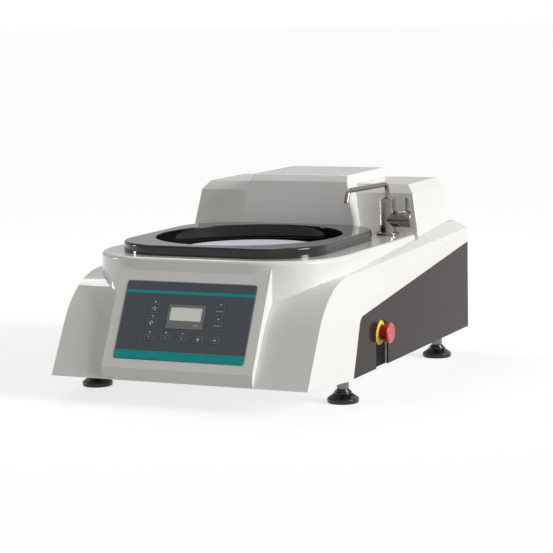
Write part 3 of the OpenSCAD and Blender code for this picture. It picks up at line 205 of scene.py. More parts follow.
def metal(name, hex_colour, rough=0.25, stretch=(1, 1, 40), scale=60.0, relief=0.06, drift=0.05):
    """Metal with fine drawn lines along the axis where stretch is small, and a little tarnish."""
    g = Graph(name)
    base = linear(hex_colour)
    lines = g.noise(scale, 6.0, stretch)
    g.colour(g.noise(25.0, 4.0), [(0.3, shade(base, 1 - drift)), (0.7, shade(base, 1 + drift))])
    g.rough(lines, rough - 0.06, rough + 0.08)
    g.set(Metallic=1.0)
    g.bump([lines], relief, 0.00006)
    return g.material


def gritted(name):
    """The abrasive disc: pale bonded grit whose fine pale flecks are painted glints (painted sparkle), with
    faint wear rings.
    """
    g = Graph(name)
    away = g.node("ShaderNodeVectorMath", operation="DISTANCE")
    away.inputs[1].default_value = at(0, 0, DISC_Z)
    g.join(g.place, away.inputs[0])
    ring = g.node("ShaderNodeTexNoise", noise_dimensions="1D")
    ring.inputs["Scale"].default_value = 160.0
    g.join(away.outputs["Value"], ring.inputs["W"])
    mixed = g.node("ShaderNodeMath", operation="MULTIPLY_ADD")
    mixed.inputs[1].default_value = 0.35
    g.join(ring.outputs["Fac"], mixed.inputs[0])
    # Painted glints: fine pale flecks added to the colour as the grit's sparkle
    g.join(g.span(g.noise(1800.0, 2.0), 0.2, 0.8, 0.0, 0.6), mixed.inputs[2])
    g.colour(mixed.outputs["Value"], [(0.15, linear("#c6cdd6")), (0.85, linear("#e4e9f0"))])
    g.set(Roughness=0.75)
    g.bump([g.cells(2600.0)], 0.5, 0.00015)
    return g.material


def glossy_black(name, hex_colour, rough=0.12, dust=1.3, coat=0.3, gloss=0.4, wave=0.04):
    """Polished dark moulding with slight waviness and dust."""
    g = Graph(name)
    base = linear(hex_colour)
    g.colour(g.noise(90.0, 6.0), [(0.35, base), (0.75, shade(base, dust))])
    g.rough(g.noise(45.0, 6.0), rough - 0.03, rough + 0.05)
    g.set(Coat_Weight=coat, Coat_Roughness=0.05, Specular_IOR_Level=gloss)
    g.bump([g.noise(14.0, 2.0)], wave, 0.0002)
    return g.material


def film(name, hex_colour, rough=0.5):
    """Printed polyester film with a fine velvet texture."""
    g = Graph(name)
    base = linear(hex_colour)
    g.colour(g.noise(50.0, 3.0), [(0.3, shade(base, 0.95)), (0.7, shade(base, 1.05))])
    g.rough(g.noise(700.0, 2.0), rough - 0.05, rough + 0.08)
    g.set(Specular_IOR_Level=0.2)
    g.bump([g.cells(2200.0)], 0.08, 0.00004)
    return g.material


def display(name):
    """Pale liquid-crystal window under clear plastic, with its fine dot matrix."""
    g = Graph(name)
    dots = g.node("ShaderNodeTexChecker")
    dots.inputs["Scale"].default_value = 2400.0
    dots.inputs["Color1"].default_value = linear("#f3f3ec")
    dots.inputs["Color2"].default_value = linear("#ebebe4")
    g.join(g.place, dots.inputs["Vector"])
    g.join(dots.outputs["Color"], g.shader.inputs["Base Color"])
    g.set(Roughness=0.18, Coat_Weight=0.6, Coat_Roughness=0.04)
    g.bump([g.noise(30.0, 1.0)], 0.02, 0.0001)
    return g.material


def circuit(name):
    """Green solder resist with copper tracks under it."""
    g = Graph(name)
    tracks = g.node("ShaderNodeTexBrick")
    tracks.inputs["Scale"].default_value = 260.0
    for key, value in (("Color1", "#0f4a2a"), ("Color2", "#12552f"), ("Mortar", "#2c7a45")):
        tracks.inputs[key].default_value = linear(value)
    g.join(g.place, tracks.inputs["Vector"])
    g.join(tracks.outputs["Color"], g.shader.inputs["Base Color"])
    g.set(Roughness=0.35)
    g.bump([g.noise(900.0, 2.0)], 0.1, 0.0001)
    return g.material


FINISH = {
    "body_paint": paint("body_paint", "#e4e3de", coat=1.0, coat_rough=0.07),
    "panel_gloss": glossy_black("panel_gloss", "#2e2825", 0.14, dust=1.05, coat=0.0, gloss=0.1, wave=0.01),
    "back_paint": paint("back_paint", "#77797a", 0.5, peel=900.0, drift=0.05, coat=0.0),
    "plate_steel": metal("plate_steel", "#b4b6b6", 0.34, stretch=(1, 30, 30)),
    "basin_black": glossy_black("basin_black", "#141315", 0.07, dust=1.2, gloss=0.3),
    "platen_alu": metal("platen_alu", "#c9cbcd", 0.28, stretch=(40, 40, 1)),
    "mat_rubber": moulded("mat_rubber", "#2c2b2a", 0.7),
    "abrasive": gritted("abrasive"),
    "machined_steel": metal("machined_steel", "#b3b3b2", 0.24, stretch=(1, 1, 50)),
    "cast_grey": metal("cast_grey", "#8d9092", 0.5, stretch=(1, 1, 1), scale=400.0, relief=0.3),
    "motor_paint": paint("motor_paint", "#4d565c", 0.42, peel=500.0),
    "belt_rubber": moulded("belt_rubber", "#1c1c1c", 0.75, grain=500.0, relief=0.3),
    "dark_plastic": moulded("dark_plastic", "#1b1b1c", 0.5, gloss=0.04),
    "board_green": circuit("board_green"),
    "overlay_slate": film("overlay_slate", "#555a5f"),
    "bezel_grey": moulded("bezel_grey", "#787877", 0.4, grain=1500.0, relief=0.05),
    "screen_pale": display("screen_pale"),
    "key_slate": film("key_slate", "#50555a", 0.45),
    "lamp_clear": moulded("lamp_clear", "#e6e8e4", 0.2, grain=1500.0, relief=0.02),
    "stop_yellow": moulded("stop_yellow", "#f7cf12", 0.35, grain=1200.0, relief=0.05),
    "stop_red": moulded("stop_red", "#c01824", 0.25, grain=1200.0, relief=0.03, drift=0.04, coat=0.4),
    "tap_chrome": metal("tap_chrome", "#7f7975", 0.16, stretch=(1, 1, 12), scale=40.0, relief=0.02),
    "inlet_brass": metal("inlet_brass", "#c9a55c", 0.3, stretch=(1, 40, 1)),
    "drain_grey": moulded("drain_grey", "#a9abad", 0.5),
    "hose_clear": moulded("hose_clear", "#b9bec2", 0.4, grain=700.0, relief=0.1),
    "foot_black": glossy_black("foot_black", "#0b0b0b"),
}
INK = {
    "ink_teal": film("ink_teal", "#1a9c9a"),
    "ink_pale": film("ink_pale", "#d2d5d5"),
    "ink_grey": film("ink_grey", "#8a8e91"),
}
NUT_STEEL = metal("nut_steel", "#7d7773", 0.2)


# Mesh making

def new_piece(name, body, slot, mesh, material=None, replaced=()):
    """An object for a finished mesh, riding on a body and standing for CAD nodes."""
    made = bpy.data.objects.new(name, mesh)
    bpy.context.scene.collection.objects.link(made)
    mesh.materials.clear()
    mesh.materials.append(material or FINISH[slot])
    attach(made, body)
    if replaced:
        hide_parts(*replaced)


# Angles in degrees from which an edge is drawn sharp: on turned pieces, on plates and on marks
ROUND_ANGLE, PLATE_ANGLE, MARK_ANGLE = 32.0, 25.0, 20.0


def smooth(mesh, angle):
    mesh.polygons.foreach_set("use_smooth", [True] * len(mesh.polygons))
    mesh.set_sharp_from_angle(angle=math.radians(angle))
    mesh.update()


# The share of a side that a rounded corner may take, and the angle from which a corner counts as straight
CORNER_SHARE = 0.49
STRAIGHT = 3.1


def fillet(points, radius, steps=5):
    """The open outline with each inner corner rounded; a point may carry its own radius."""
    made = [Vector(points[0][:2])]
    for before, here, after in zip(points, points[1:], points[2:]):
        corner = Vector(here[:2])
        back, ahead = Vector(before[:2]) - corner, Vector(after[:2]) - corner
        r = here[2] if len(here) > 2 else radius
        turn = back.angle(ahead)
        room = min(back.length, ahead.length) * CORNER_SHARE
        reach = min(r / math.tan(turn / 2), room) if turn < STRAIGHT else 0
        if reach < 1e-6:
            made.append(corner)
            continue
        start, end = corner + back.normalized() * reach, corner + ahead.normalized() * reach
        for i in range(steps + 1):
            t = i / steps
            made.append((1 - t) ** 2 * start + 2 * t * (1 - t) * corner + t * t * end)
    made.append(Vector(points[-1][:2]))
    return made


def circle(bm, r, h, sides):
    return [bm.verts.new((r * MM * math.cos(a), r * MM * math.sin(a), h * MM))
            for a in (2 * math.pi * i / sides for i in range(sides))]


def lathe(profile, place, sides=72):
    """A solid turned about place's Z from (radius, height) points in millimetres, closed at its ends."""
    bm = bmesh.new()
    rings = [[bm.verts.new((0, 0, h * MM))] if r < 1e-4 else circle(bm, r, h, sides) for r, h in profile]
    for low, high in zip(rings, rings[1:]):
        for i in range(sides):
            j = (i + 1) % sides
            face = [low[i % len(low)], low[j % len(low)], high[j % len(high)], high[i % len(high)]]
            bm.faces.new(list(dict.fromkeys(face)))
    for ring in (rings[0], rings[-1]):
        if len(ring) > 1:
            bm.faces.new(ring)
    return meshed(bm, place)


def ring_lathe(profile, place, sides=72):
    """A ring turned about place's Z, whose outline closes on itself."""
    bm = bmesh.new()
    rings = [circle(bm, r, h, sides) for r, h in profile]
    for low, high in zip(rings, rings[1:] + rings[:1]):
        for i in range(sides):
            j = (i + 1) % sides
            bm.faces.new((low[i], low[j], high[j], high[i]))
    return meshed(bm, place)


def turned(name, body, slot, outline, corner, place, stands_for, sides=72):
    """A turned piece with rounded corners that stands for a CAD node."""
    new_piece(name, body, slot, lathe(fillet(outline, corner), place, sides), replaced=[stands_for])


def meshed(bm, place, angle=ROUND_ANGLE):
    bmesh.ops.recalc_face_normals(bm, faces=bm.faces)
    bmesh.ops.transform(bm, matrix=place, verts=bm.verts)
    mesh = bpy.data.meshes.new("mesh")
    bm.to_mesh(mesh)
    bm.free()
    smooth(mesh, angle)
    return mesh


def arc(centre, radius, start, end, steps=8):
    return [(centre[0] + radius * math.cos(math.radians(start + (end - start) * i / steps)),
             centre[1] + radius * math.sin(math.radians(start + (end - start) * i / steps)))
            for i in range(steps + 1)]


def round_rect(w, h, r, grow=0.0):
    """The outline of a rectangle with round corners, about its middle."""
    a, b, c = w / 2 + grow, h / 2 + grow, max(r + grow, 0.05)
    return (arc((a - c, b - c), c, 0, 90) + arc((c - a, b - c), c, 90, 180)
            + arc((c - a, c - b), c, 180, 270) + arc((a - c, c - b), c, 270, 360))


def plate(outline, low, high, place, hole=None):
    """A flat plate between two heights, with an optional hole of as many points as its outline."""
    bm = bmesh.new()

    def ring(points, h):
        return [bm.verts.new((x * MM, y * MM, h * MM)) for x, y in points]

    def wall(a, b):
        for i in range(len(a)):
            j = (i + 1) % len(a)
            bm.faces.new((a[i], a[j], b[j], b[i]))

    bottom, top = ring(outline, low), ring(outline, high)
    wall(bottom, top)
    if hole:
        inner_low, inner_high = ring(hole, low), ring(hole, high)
        wall(inner_high, inner_low)
        wall(top, inner_high)
        wall(inner_low, bottom)
    else:
        bm.faces.new(top)
        bm.faces.new(list(reversed(bottom)))
    return meshed(bm, place, PLATE_ANGLE)


def sweep(points, outer, bore, sides=32):
    """A tube along points, from its outer radius and its bore's radius, all in metres."""
    bm = bmesh.new()
    tangents = [(points[min(i + 1, len(points) - 1)] - points[max(i - 1, 0)]).normalized()
                for i in range(len(points))]
    side = tangents[0].orthogonal().normalized()
    rings = []
    for point, tangent in zip(points, tangents):
        side = (side - tangent * side.dot(tangent)).normalized()
        across = tangent.cross(side)
        rings.append([[bm.verts.new(point + (side * math.cos(a) + across * math.sin(a)) * r)
                       for a in (2 * math.pi * i / sides for i in range(sides))] for r in (outer, bore)])
    for k in (0, 1):
        for a, b in zip(rings, rings[1:]):
            for i in range(sides):
                j = (i + 1) % sides
                bm.faces.new((a[k][i], a[k][j], b[k][j], b[k][i]))
    for end in (rings[0], rings[-1]):
        for i in range(sides):
            j = (i + 1) % sides
            bm.faces.new((end[0][i], end[0][j], end[1][j], end[1][i]))
    return meshed(bm, Matrix.Identity(4))


def placed(x, y, z, axis="Z"):
    """A place in machine millimetres whose Z points along the frame's Z or X."""
    turn = {"Z": Matrix.Identity(4), "X": Matrix.Rotation(math.pi / 2, 4, "Y")}[axis]
    return Matrix.Translation(at(x, y, z)) @ turn


def on_face(u, v):
    """A place on the control face, Z out of it."""
    sine, cosine = math.sin(FACE_LEAN), math.cos(FACE_LEAN)
    turn = Matrix(((1, 0, 0, 0), (0, sine, -cosine, 0), (0, cosine, sine, 0), (0, 0, 0, 1)))
    return Matrix.Translation(at(0, -BODY_FRONT, FACE_Z)) @ turn @ Matrix.Translation(Vector((u, v, 0)) * MM)


def lettering(text, size, place, low, high):
    """A short generic mark as a thin mesh."""
    curve = bpy.data.curves.new("mark", "FONT")
    curve.body, curve.size = text, size * MM
    curve.align_x, curve.align_y = "CENTER", "CENTER"
    curve.extrude = (high - low) / 2 * MM
    curve.resolution_u = 3
    scratch = bpy.data.objects.new("mark", curve)
    bpy.context.scene.collection.objects.link(scratch)
    bpy.context.view_layer.update()
    mesh = bpy.data.meshes.new_from_object(scratch.evaluated_get(bpy.context.evaluated_depsgraph_get()))
    bpy.data.objects.remove(scratch)
    mesh.transform(place @ Matrix.Translation((0, 0, (low + high) / 2 * MM)))
    smooth(mesh, MARK_ANGLE)
    return mesh


# CAD nodes: finish and rounded edges, in millimetres and degrees

EDGE = {"rear_cover": 1.2, "side_panel_right": 0.5, "side_panel_left": 0.5, "basin": 0.15,
        "display_bezel": 0.15, "panel_overlay": 0.12, "screws": 0.25, "indicator_lamps": 0.2,
        "abrasive_disc": 0.3, "magnetic_mat": 0.2, "control_board": 0.1}
KEY_EDGE, PLAIN_EDGE = 0.25, 0.4
SHARP = ("body_shell", "back_panel", "base_plate", "splash_ring", "motor_body", "display_window")
UNCLAMPED = ("rear_cover",)
WELD_REACH = 0.02
FLAT_ANGLE, EDGE_ANGLE, SPLIT_ANGLE = 0.5, 28, 24


def dress(name, node):
    """Gives a CAD node its finish, welds its mesh and rounds its edges unless they stay sharp."""
    slot = SLOT_OF[name]
    node.data.materials.clear()
    node.data.materials.append(FINISH[slot])
    node.data.polygons.foreach_set("use_smooth", [True] * len(node.data.polygons))
    node.modifiers.new("weld", "WELD").merge_threshold = WELD_REACH * MM
    if name not in SHARP:
        if name not in UNCLAMPED:
            flat = node.modifiers.new("flat", "DECIMATE")
            flat.decimate_type = "DISSOLVE"
            flat.angle_limit = math.radians(FLAT_ANGLE)
        bevel = node.modifiers.new("edge", "BEVEL")
        bevel.width = (KEY_EDGE if name.startswith("key_") else EDGE.get(name, PLAIN_EDGE)) * MM
        bevel.segments = 3
        bevel.limit_method = "ANGLE"
        bevel.angle_limit = math.radians(EDGE_ANGLE)
        bevel.use_clamp_overlap = name not in UNCLAMPED
        bevel.miter_outer = "MITER_ARC"
    node.modifiers.new("split", "EDGE_SPLIT").split_angle = math.radians(SPLIT_ANGLE)
    node.modifiers.new("normals", "WEIGHTED_NORMAL").keep_sharp = True


for name, node in frame["nodes"].items():
    dress(name, node)


# Feet; here and below, outlines are (radius, height) points, some with a corner radius, in millimetres

FOOT_BASE = [(0, 0), (24.6, 0, 1), (25.5, 1.6, 1), (25.5, 6.6, 1.4), (24.0, 8.2, 1), (14.6, 15.0, 1),
             (14.4, 17.4, 0.6), (12.6, 17.6, 0.4), (12.2, 20.0, 0.6), (10.4, 20.2, 0.4),
             (10, 21.6, 0.3), (0, 21.6)]
HEXAGON_W, HEXAGON_H, HEXAGON_Z, HEXAGON_EDGE = 17.0, 20.0, 31.8, 0.9
THREAD_CORE, THREAD_R, THREAD_PITCH, THREAD_TURNS, THREAD_Z = 5.2, 5.95, 1.75, 14, 40.0
SCREW_END = [(4.4, 65.8), (0, 66)]
SCREW_SIDES = 40


def foot(body, x, y):
    turned(body + "_base", body, "foot_black", FOOT_BASE, 1, placed(x, y, 0), body)
    hexagon = bmesh.new()
    radius = HEXAGON_W / math.sqrt(3) * MM
    bmesh.ops.create_cone(hexagon, cap_ends=True, segments=6, radius1=radius, radius2=radius,
                          depth=HEXAGON_H * MM)
    bmesh.ops.bevel(hexagon, geom=hexagon.edges[:], offset=HEXAGON_EDGE * MM, segments=3, affect="EDGES")
    nut = meshed(hexagon, placed(x, y, HEXAGON_Z))
    new_piece(body + "_hexagon", body, "machined_steel", nut, NUT_STEEL, [body])
    screw = [(0, THREAD_Z - 1)]
    for i in range(THREAD_TURNS):
        screw += [(THREAD_CORE, THREAD_Z + THREAD_PITCH * i),
                  (THREAD_R, THREAD_Z + THREAD_PITCH * (i + 0.5))]
    screw += [(THREAD_CORE, THREAD_Z + THREAD_PITCH * THREAD_TURNS)] + SCREW_END
    new_piece(body + "_screw", body, "machined_steel", lathe(screw, placed(x, y, 0), SCREW_SIDES),
              replaced=[body])


for side, x in (("left", -FOOT_X), ("right", FOOT_X)):
    for row, y in zip(("front", "rear"), FOOT_YS):
        foot("foot_" + row + "_" + side, x, y)


# Water tap

COLUMN = [(0, 0), (19.2, 0, 0.3), (20, 0.8, 0.6), (20, 4.2, 0.8), (19.2, 5, 0.6), (14.4, 5, 0.5),
          (14.4, 63.2, 0.8), (13.6, 64, 0.6), (6.4, 64, 0.3), (6.2, 63, 0.3), (4.4, 63, 0.2),
          (4.4, 50, 0.2), (0, 50)]
VALVE = [(0, 0), (13.8, 0), (13.8, 28.6, 0.4), (13.4, 29, 0.3), (8.2, 29, 0.2), (8.2, 22, 0.2), (0, 22)]
KNOB = [(0, -6), (7.9, -6, 0.3), (7.9, 0.3, 0.3), (14.0, 0.3, 0.3), (14.6, 0.9, 0.5), (14.6, 16.6, 0.8),
        (13.6, 17.6, 0.6), (0, 17.8)]
LEVER = [(0, 9), (3.9, 9, 0.2), (3.9, 15.6, 0.5), (3.2, 16.4, 0.4), (3.2, 34, 0.8), (3.6, 35, 0.5),
         (3.6, 37, 1.2), (0, 38)]
GLAND = [(SPOUT_R + 0.1, 0.1), (6.1, 0.1, 0.3), (6.1, 1.4, 0.5), (5.2, 2.2, 0.4), (SPOUT_R + 0.1, 2.2)]
KNOB_OUT, LEVER_OUT = 29.0, 37.0
LEVER_SIDES = 40


def tap():
    """The column with its valve, and the knob and lever that turn on it."""
    slot = "tap_chrome"
    turned("tap_column", "housing", slot, COLUMN, 0.5, placed(TAP_X, TAP_Y, DECK_Z), "faucet_column")
    turned("tap_valve", "housing", slot, VALVE, 0.4, placed(TAP_X, TAP_Y, VALVE_Z, "X"), "faucet_column")
    turned("tap_knob", "tap_handle", slot, KNOB, 0.4, placed(TAP_X + KNOB_OUT, TAP_Y, VALVE_Z, "X"),
           "faucet_handle")
    turned("tap_lever", "tap_handle", slot, LEVER, 0.5, placed(TAP_X + LEVER_OUT, TAP_Y, VALVE_Z),
           "faucet_handle", LEVER_SIDES)


def spout():
    """The bent water tube, from inside the column's top over to the tip, and its gland."""
    ahead = Vector((math.cos(SPOUT_ANGLE), math.sin(SPOUT_ANGLE), 0))
    start_z, bend, tip_bend, tip_turn, reach = DECK_Z + 51, 10.0, 13.0, 70, 128.5
    flat = [(0, start_z + i * 4) for i in range(7)] + arc((bend, SPOUT_Z - bend), bend, 180, 90, 12)
    flat += [(bend + (reach - bend) * i / 12, SPOUT_Z) for i in range(1, 12)]
    flat += arc((reach, SPOUT_Z - tip_bend), tip_bend, 90, 90 - tip_turn, 12)
    end = Vector(flat[-1])
    down = Vector((math.cos(math.radians(-tip_turn)), math.sin(math.radians(-tip_turn))))
    flat += [end + down * step for step in (3, 6, 9, 11.5)]
    points = [at(TAP_X, TAP_Y, 0) + ahead * (p[0] * MM) + Vector((0, 0, p[1] * MM)) for p in flat]
    new_piece("tap_spout", "spout", "tap_chrome", sweep(points, SPOUT_R * MM, SPOUT_BORE * MM),
              replaced=["faucet_spout"])
    new_piece("tap_gland", "spout", "tap_chrome",
              ring_lathe(fillet(GLAND, 0.4), placed(TAP_X, TAP_Y, COLUMN_Z)))


tap()
spout()


# Stop button

STOP_DISC = [(13.1, 0), (20.5, 0, 0.2), (20.5, 2.2, 0.5), (19.6, 3.0, 0.4), (13.4, 5.6, 0.4), (13.1, 5.0),
             (13.1, 0)]
STOP_HEAD = [(0, -5.8), (12.2, -5.8, 0.4), (12.2, 10.4, 3), (16.2, 14.4, 1.6), (17, 16.4, 0.8),
             (17, 18.6, 1.2), (15.4, 20.4, 1.6), (9, 20.3, 3), (0, 19.9)]
STOP_DISC_BACK = 1.5
STOP_HEAD_SIDES = 96


def stop_button():
    # The disc's outline ends where it starts, and that point is used once
    disc = ring_lathe(fillet(STOP_DISC, 0.2)[:-1], placed(STOP_X - STOP_DISC_BACK, STOP_Y, STOP_Z, "X"))
    new_piece("stop_disc", "housing", "stop_yellow", disc, replaced=["estop_plate"])
    turned("stop_mushroom", "stop_head", "stop_red", STOP_HEAD, 0.8, placed(STOP_X, STOP_Y, STOP_Z, "X"),
           "estop_head", STOP_HEAD_SIDES)


stop_button()


# Control face: keys by column and row, and what is printed on them with its size

KEYS = (("forward", -2, 2), ("reverse", -2, 1), ("speed_1", -2, 0), ("speed_2", -1, 0), ("speed_3", 0, 0),
        ("plus", 1, 0), ("minus", 2, 0), ("start", 2, 2), ("stop", 2, 1))
MARKS = {"speed_1": ("1", 5.4), "speed_2": ("2", 5.4), "speed_3": ("3", 5.4), "start": ("START", 3.8),
         "stop": ("STOP", 4.0)}
SIGNS = {"plus": {"bar": (5.6, 1.7), "post": (1.7, 5.6)}, "minus": {"bar": (5.6, 1.7)}}
UNIT_U, UNIT_DROP, UNIT_SIZE = 20, 13.6, 4.2
BAND_MARGIN = 3


def face_plate(name, outline, heights, u, v, ink, hole=None, body="housing", slot="overlay_slate"):
    """A thin printed shape between two heights over the control face."""
    new_piece(name, body, slot, plate(outline, *heights, on_face(u, v), hole), INK[ink])


def face_rim(name, size, insets, heights, u, v, body="housing", slot="overlay_slate"):
    """A thin grey line between two insets from a rounded rectangle's edge."""
    outer, inner = (round_rect(*size, -inset) for inset in insets)
    face_plate(name, outer, heights, u, v, "ink_grey", inner, body, slot)


def turning_mark(body, u, v, way):
    """A round arrow: most of a ring and a head at its end."""
    inner_r, outer_r, first, last, steps = 2.2, 3.2, -50, 210, 20
    band = arc((0, 0), outer_r, first, last, steps) + arc((0, 0), inner_r, last, first, steps)
    tip_x, tip_y = arc((0, 0), (inner_r + outer_r) / 2, first, first, 1)[0]
    head = [(tip_x + dx, tip_y + dy) for dx, dy in ((1.7, 0.8), (-1.2, -2.2), (-1.7, 1.3))]
    low, high = RAISED_PRINT
    for part, outline in (("arc", band), ("head", head)):
        bm = bmesh.new()
        verts = [bm.verts.new((x * way * MM, y * MM, low * MM)) for x, y in outline]
        made = bmesh.ops.extrude_face_region(bm, geom=[bm.faces.new(verts)])
        lifted = [g for g in made["geom"] if isinstance(g, bmesh.types.BMVert)]
        bmesh.ops.translate(bm, vec=(0, 0, (high - low) * MM), verts=lifted)
        new_piece(body + "_" + part, body, "key_slate", meshed(bm, on_face(u, v), MARK_ANGLE),
                  INK["ink_pale"])


def key_print(name, u, v, high):
    """A key's outline and its number, word, sign or arrow."""
    body, slot = "key_" + name, "key_slate"
    face_rim(body + "_outline", (KEY_W, high, KEY_R), (0.35, 0.95), RAISED_PRINT, u, v, body, slot)
    if name in MARKS:
        text, size = MARKS[name]
        mark = lettering(text, size, on_face(u, v), *RAISED_PRINT)
        new_piece(body + "_mark", body, slot, mark, INK["ink_pale"])
    elif name in SIGNS:
        for part, (w, h) in SIGNS[name].items():
            face_plate(body + "_" + part, round_rect(w, h, 0.2), RAISED_PRINT, u, v, "ink_pale", None,
                       body, slot)
    else:
        turning_mark(body, u, v, 1 if name == "forward" else -1)


def control_face():
    # Painted highlight: a lighter grey line all round the overlay's edge stands in for the light caught on
    # that edge
    face_rim("overlay_painted_edge_highlight", (OVERLAY_W, OVERLAY_H, OVERLAY_R), (0.5, 1.3), OVERLAY_PRINT, 0, FACE_V)
    for name, v, h, r in (("overlay_stripe", STRIPE_V, STRIPE_H, STRIPE_R),
                          ("overlay_band", BAND_V, BAND_H, BAND_R)):
        face_plate(name, round_rect(OVERLAY_W - BAND_MARGIN, h, r), OVERLAY_PRINT, 0, v, "ink_teal")
    face_rim("bezel_rim", (BEZEL_W, BEZEL_H, BEZEL_R), (0.3, 0.7), RAISED_PRINT, 0, BEZEL_V,
             slot="bezel_grey")
    unit = lettering("r/min", UNIT_SIZE, on_face(UNIT_U, BEZEL_V - UNIT_DROP), *RAISED_PRINT)
    new_piece("unit_mark", "housing", "bezel_grey", unit, INK["ink_pale"])
    for name, column, row in KEYS:
        key_print(name, column * KEY_PITCH, KEY_V + row * KEY_ROW, KEY_TALL if row else KEY_LOW)


control_face()


# Studio: brightness of floor and world, the camera's view, and the sides that the lamps shine from

FLOOR_REACH = 60.0
FLOOR_TONE, FLOOR_TONE_SEEN, FLOOR_GLOW = 0.40, 0.42, 0.70
WORLD_FILL = 0.31
BRIGHT_SIDE = (0.85, 0.05, 0.50)
DIM_LEAST, DIM_SPREAD = 0.42, 0.50
CAMERA_TURN, CAMERA_RISE, CAMERA_ROLL = math.radians(24.60), math.radians(7.70), math.radians(-1.13)
CAMERA_PLACE = (1405.02, -2963.29, 616.28)
SENSOR, LENS = 36.0, 128.49
KEY_SIDE, RIM_SIDE = (0.88, -0.05, 0.30), (-0.9, -0.15, 0.05)
SOFTBOX_PLACE, SOFTBOX_AIM = (-1000, 1000, 1950), (0, 0, 150)


def add_node(tree, kind, **values):
    made = tree.nodes.new(kind)
    for key, value in values.items():
        setattr(made, key, value)
    return made


def floor():
    """A plain floor that keeps the shadow and glows where the camera or a reflection sees it."""
    size = FLOOR_REACH
    mesh = bpy.data.meshes.new("floor")
    mesh.from_pydata([(-size, -size, 0), (size, -size, 0), (size, size, 0), (-size, size, 0)], [],
                     [(0, 1, 2, 3)])
    ground = bpy.data.objects.new("floor", mesh)
    bpy.context.scene.collection.objects.link(ground)
    material = bpy.data.materials.new("floor")
    material.use_nodes = True
    tree = material.node_tree
    tree.nodes.clear()
    path = add_node(tree, "ShaderNodeLightPath")
    seen = add_node(tree, "ShaderNodeMath", operation="MAXIMUM")
    tone = add_node(tree, "ShaderNodeMix", data_type="RGBA")
    for socket, level in (("A", FLOOR_TONE), ("B", FLOOR_TONE_SEEN)):
        tone.inputs[socket].default_value = (level, level, level, 1)
    lift = add_node(tree, "ShaderNodeMath", operation="MULTIPLY")
    lift.inputs[1].default_value = FLOOR_GLOW
    diffuse = add_node(tree, "ShaderNodeBsdfDiffuse")
    glow = add_node(tree, "ShaderNodeEmission")
    both = add_node(tree, "ShaderNodeAddShader")
    out = add_node(tree, "ShaderNodeOutputMaterial")
    for output, socket in (
            (path.outputs["Is Camera Ray"], seen.inputs[0]), (path.outputs["Is Glossy Ray"], seen.inputs[1]),
            (seen.outputs[0], tone.inputs["Factor"]), (tone.outputs["Result"], diffuse.inputs["Color"]),
            (seen.outputs[0], lift.inputs[0]), (lift.outputs[0], glow.inputs["Strength"]),
            (diffuse.outputs[0], both.inputs[0]), (glow.outputs[0], both.inputs[1]),
            (both.outputs[0], out.inputs["Surface"])):
        tree.links.new(output, socket)
    mesh.materials.append(material)


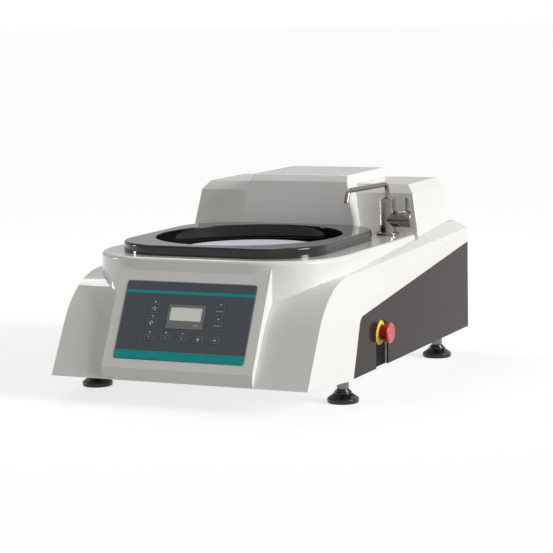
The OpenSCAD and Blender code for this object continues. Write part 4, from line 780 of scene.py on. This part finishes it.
def sky():
    """A world that is white to the camera, soft as light, and brighter on one side in reflections."""
    world = bpy.data.worlds.new("studio")
    bpy.context.scene.world = world
    world.use_nodes = True
    tree = world.node_tree
    back = tree.nodes["Background"]
    back.inputs["Color"].default_value = (1, 1, 1, 1)
    path = add_node(tree, "ShaderNodeLightPath")
    place = add_node(tree, "ShaderNodeTexCoord")
    side = add_node(tree, "ShaderNodeVectorMath", operation="DOT_PRODUCT")
    side.inputs[1].default_value = BRIGHT_SIDE
    seen, shown, bright = [add_node(tree, "ShaderNodeMath", operation="MAXIMUM") for _ in range(3)]
    dim = add_node(tree, "ShaderNodeMapRange")
    for key, value in (("From Min", -DIM_SPREAD), ("From Max", DIM_SPREAD), ("To Min", DIM_LEAST)):
        dim.inputs[key].default_value = value
    span = add_node(tree, "ShaderNodeMapRange")
    span.inputs["To Min"].default_value = WORLD_FILL
    for output, socket in (
            (place.outputs["Generated"], side.inputs[0]), (side.outputs["Value"], dim.inputs["Value"]),
            (dim.outputs["Result"], bright.inputs[0]), (path.outputs["Is Camera Ray"], bright.inputs[1]),
            (path.outputs["Is Camera Ray"], seen.inputs[0]), (path.outputs["Is Glossy Ray"], seen.inputs[1]),
            (seen.outputs[0], shown.inputs[0]), (path.outputs["Is Transmission Ray"], shown.inputs[1]),
            (bright.outputs[0], span.inputs["To Max"]), (shown.outputs[0], span.inputs["Value"]),
            (span.outputs["Result"], back.inputs["Strength"])):
        tree.links.new(output, socket)


def hang(light, towards, place=(0, 0, 0)):
    """Links a lamp that shines from a direction, or from a place."""
    lamp = bpy.data.objects.new(light.name, light)
    lamp.location = place
    lamp.rotation_mode = "QUATERNION"
    lamp.rotation_quaternion = Vector(towards).to_track_quat("Z", "Y")
    bpy.context.scene.collection.objects.link(lamp)


def sun(name, towards, strength, spread):
    """A distant soft lamp that shines from a direction."""
    light = bpy.data.lights.new(name, "SUN")
    light.energy = strength * math.pi
    light.angle = math.radians(spread)
    hang(light, towards)


def softbox(name, place, aim, w, h, watts):
    """A rectangular lamp that shines at a point."""
    light = bpy.data.lights.new(name, "AREA")
    light.shape, light.size, light.size_y, light.energy = "RECTANGLE", w, h, watts
    hang(light, place - aim, place)


def camera():
    """The photograph's view: a long lens, a little above the deck, turned to the machine's right."""
    flat = math.cos(CAMERA_RISE)
    back = Vector((math.sin(CAMERA_TURN) * flat, -math.cos(CAMERA_TURN) * flat, math.sin(CAMERA_RISE)))
    right = (-back).cross(Vector((0, 0, 1))).normalized()
    up = right.cross(-back)
    sine, cosine = math.sin(CAMERA_ROLL), math.cos(CAMERA_ROLL)
    turn = Matrix((right * cosine + up * sine, up * cosine - right * sine, back)).transposed().to_4x4()
    data = bpy.data.cameras.new("camera")
    data.sensor_width = SENSOR
    data.lens = LENS
    data.clip_end = 200.0
    made = bpy.data.objects.new("camera", data)
    made.matrix_world = Matrix.Translation(at(*CAMERA_PLACE)) @ turn
    bpy.context.scene.collection.objects.link(made)
    bpy.context.scene.camera = made


floor()
sky()
sun("key", KEY_SIDE, strength=0.94, spread=26)
sun("rim", RIM_SIDE, strength=0.20, spread=10)
softbox("overhead", at(*SOFTBOX_PLACE), at(*SOFTBOX_AIM), w=1.3, h=0.4, watts=9.0)
camera()
bpy.context.scene.view_settings.view_transform = "Standard"
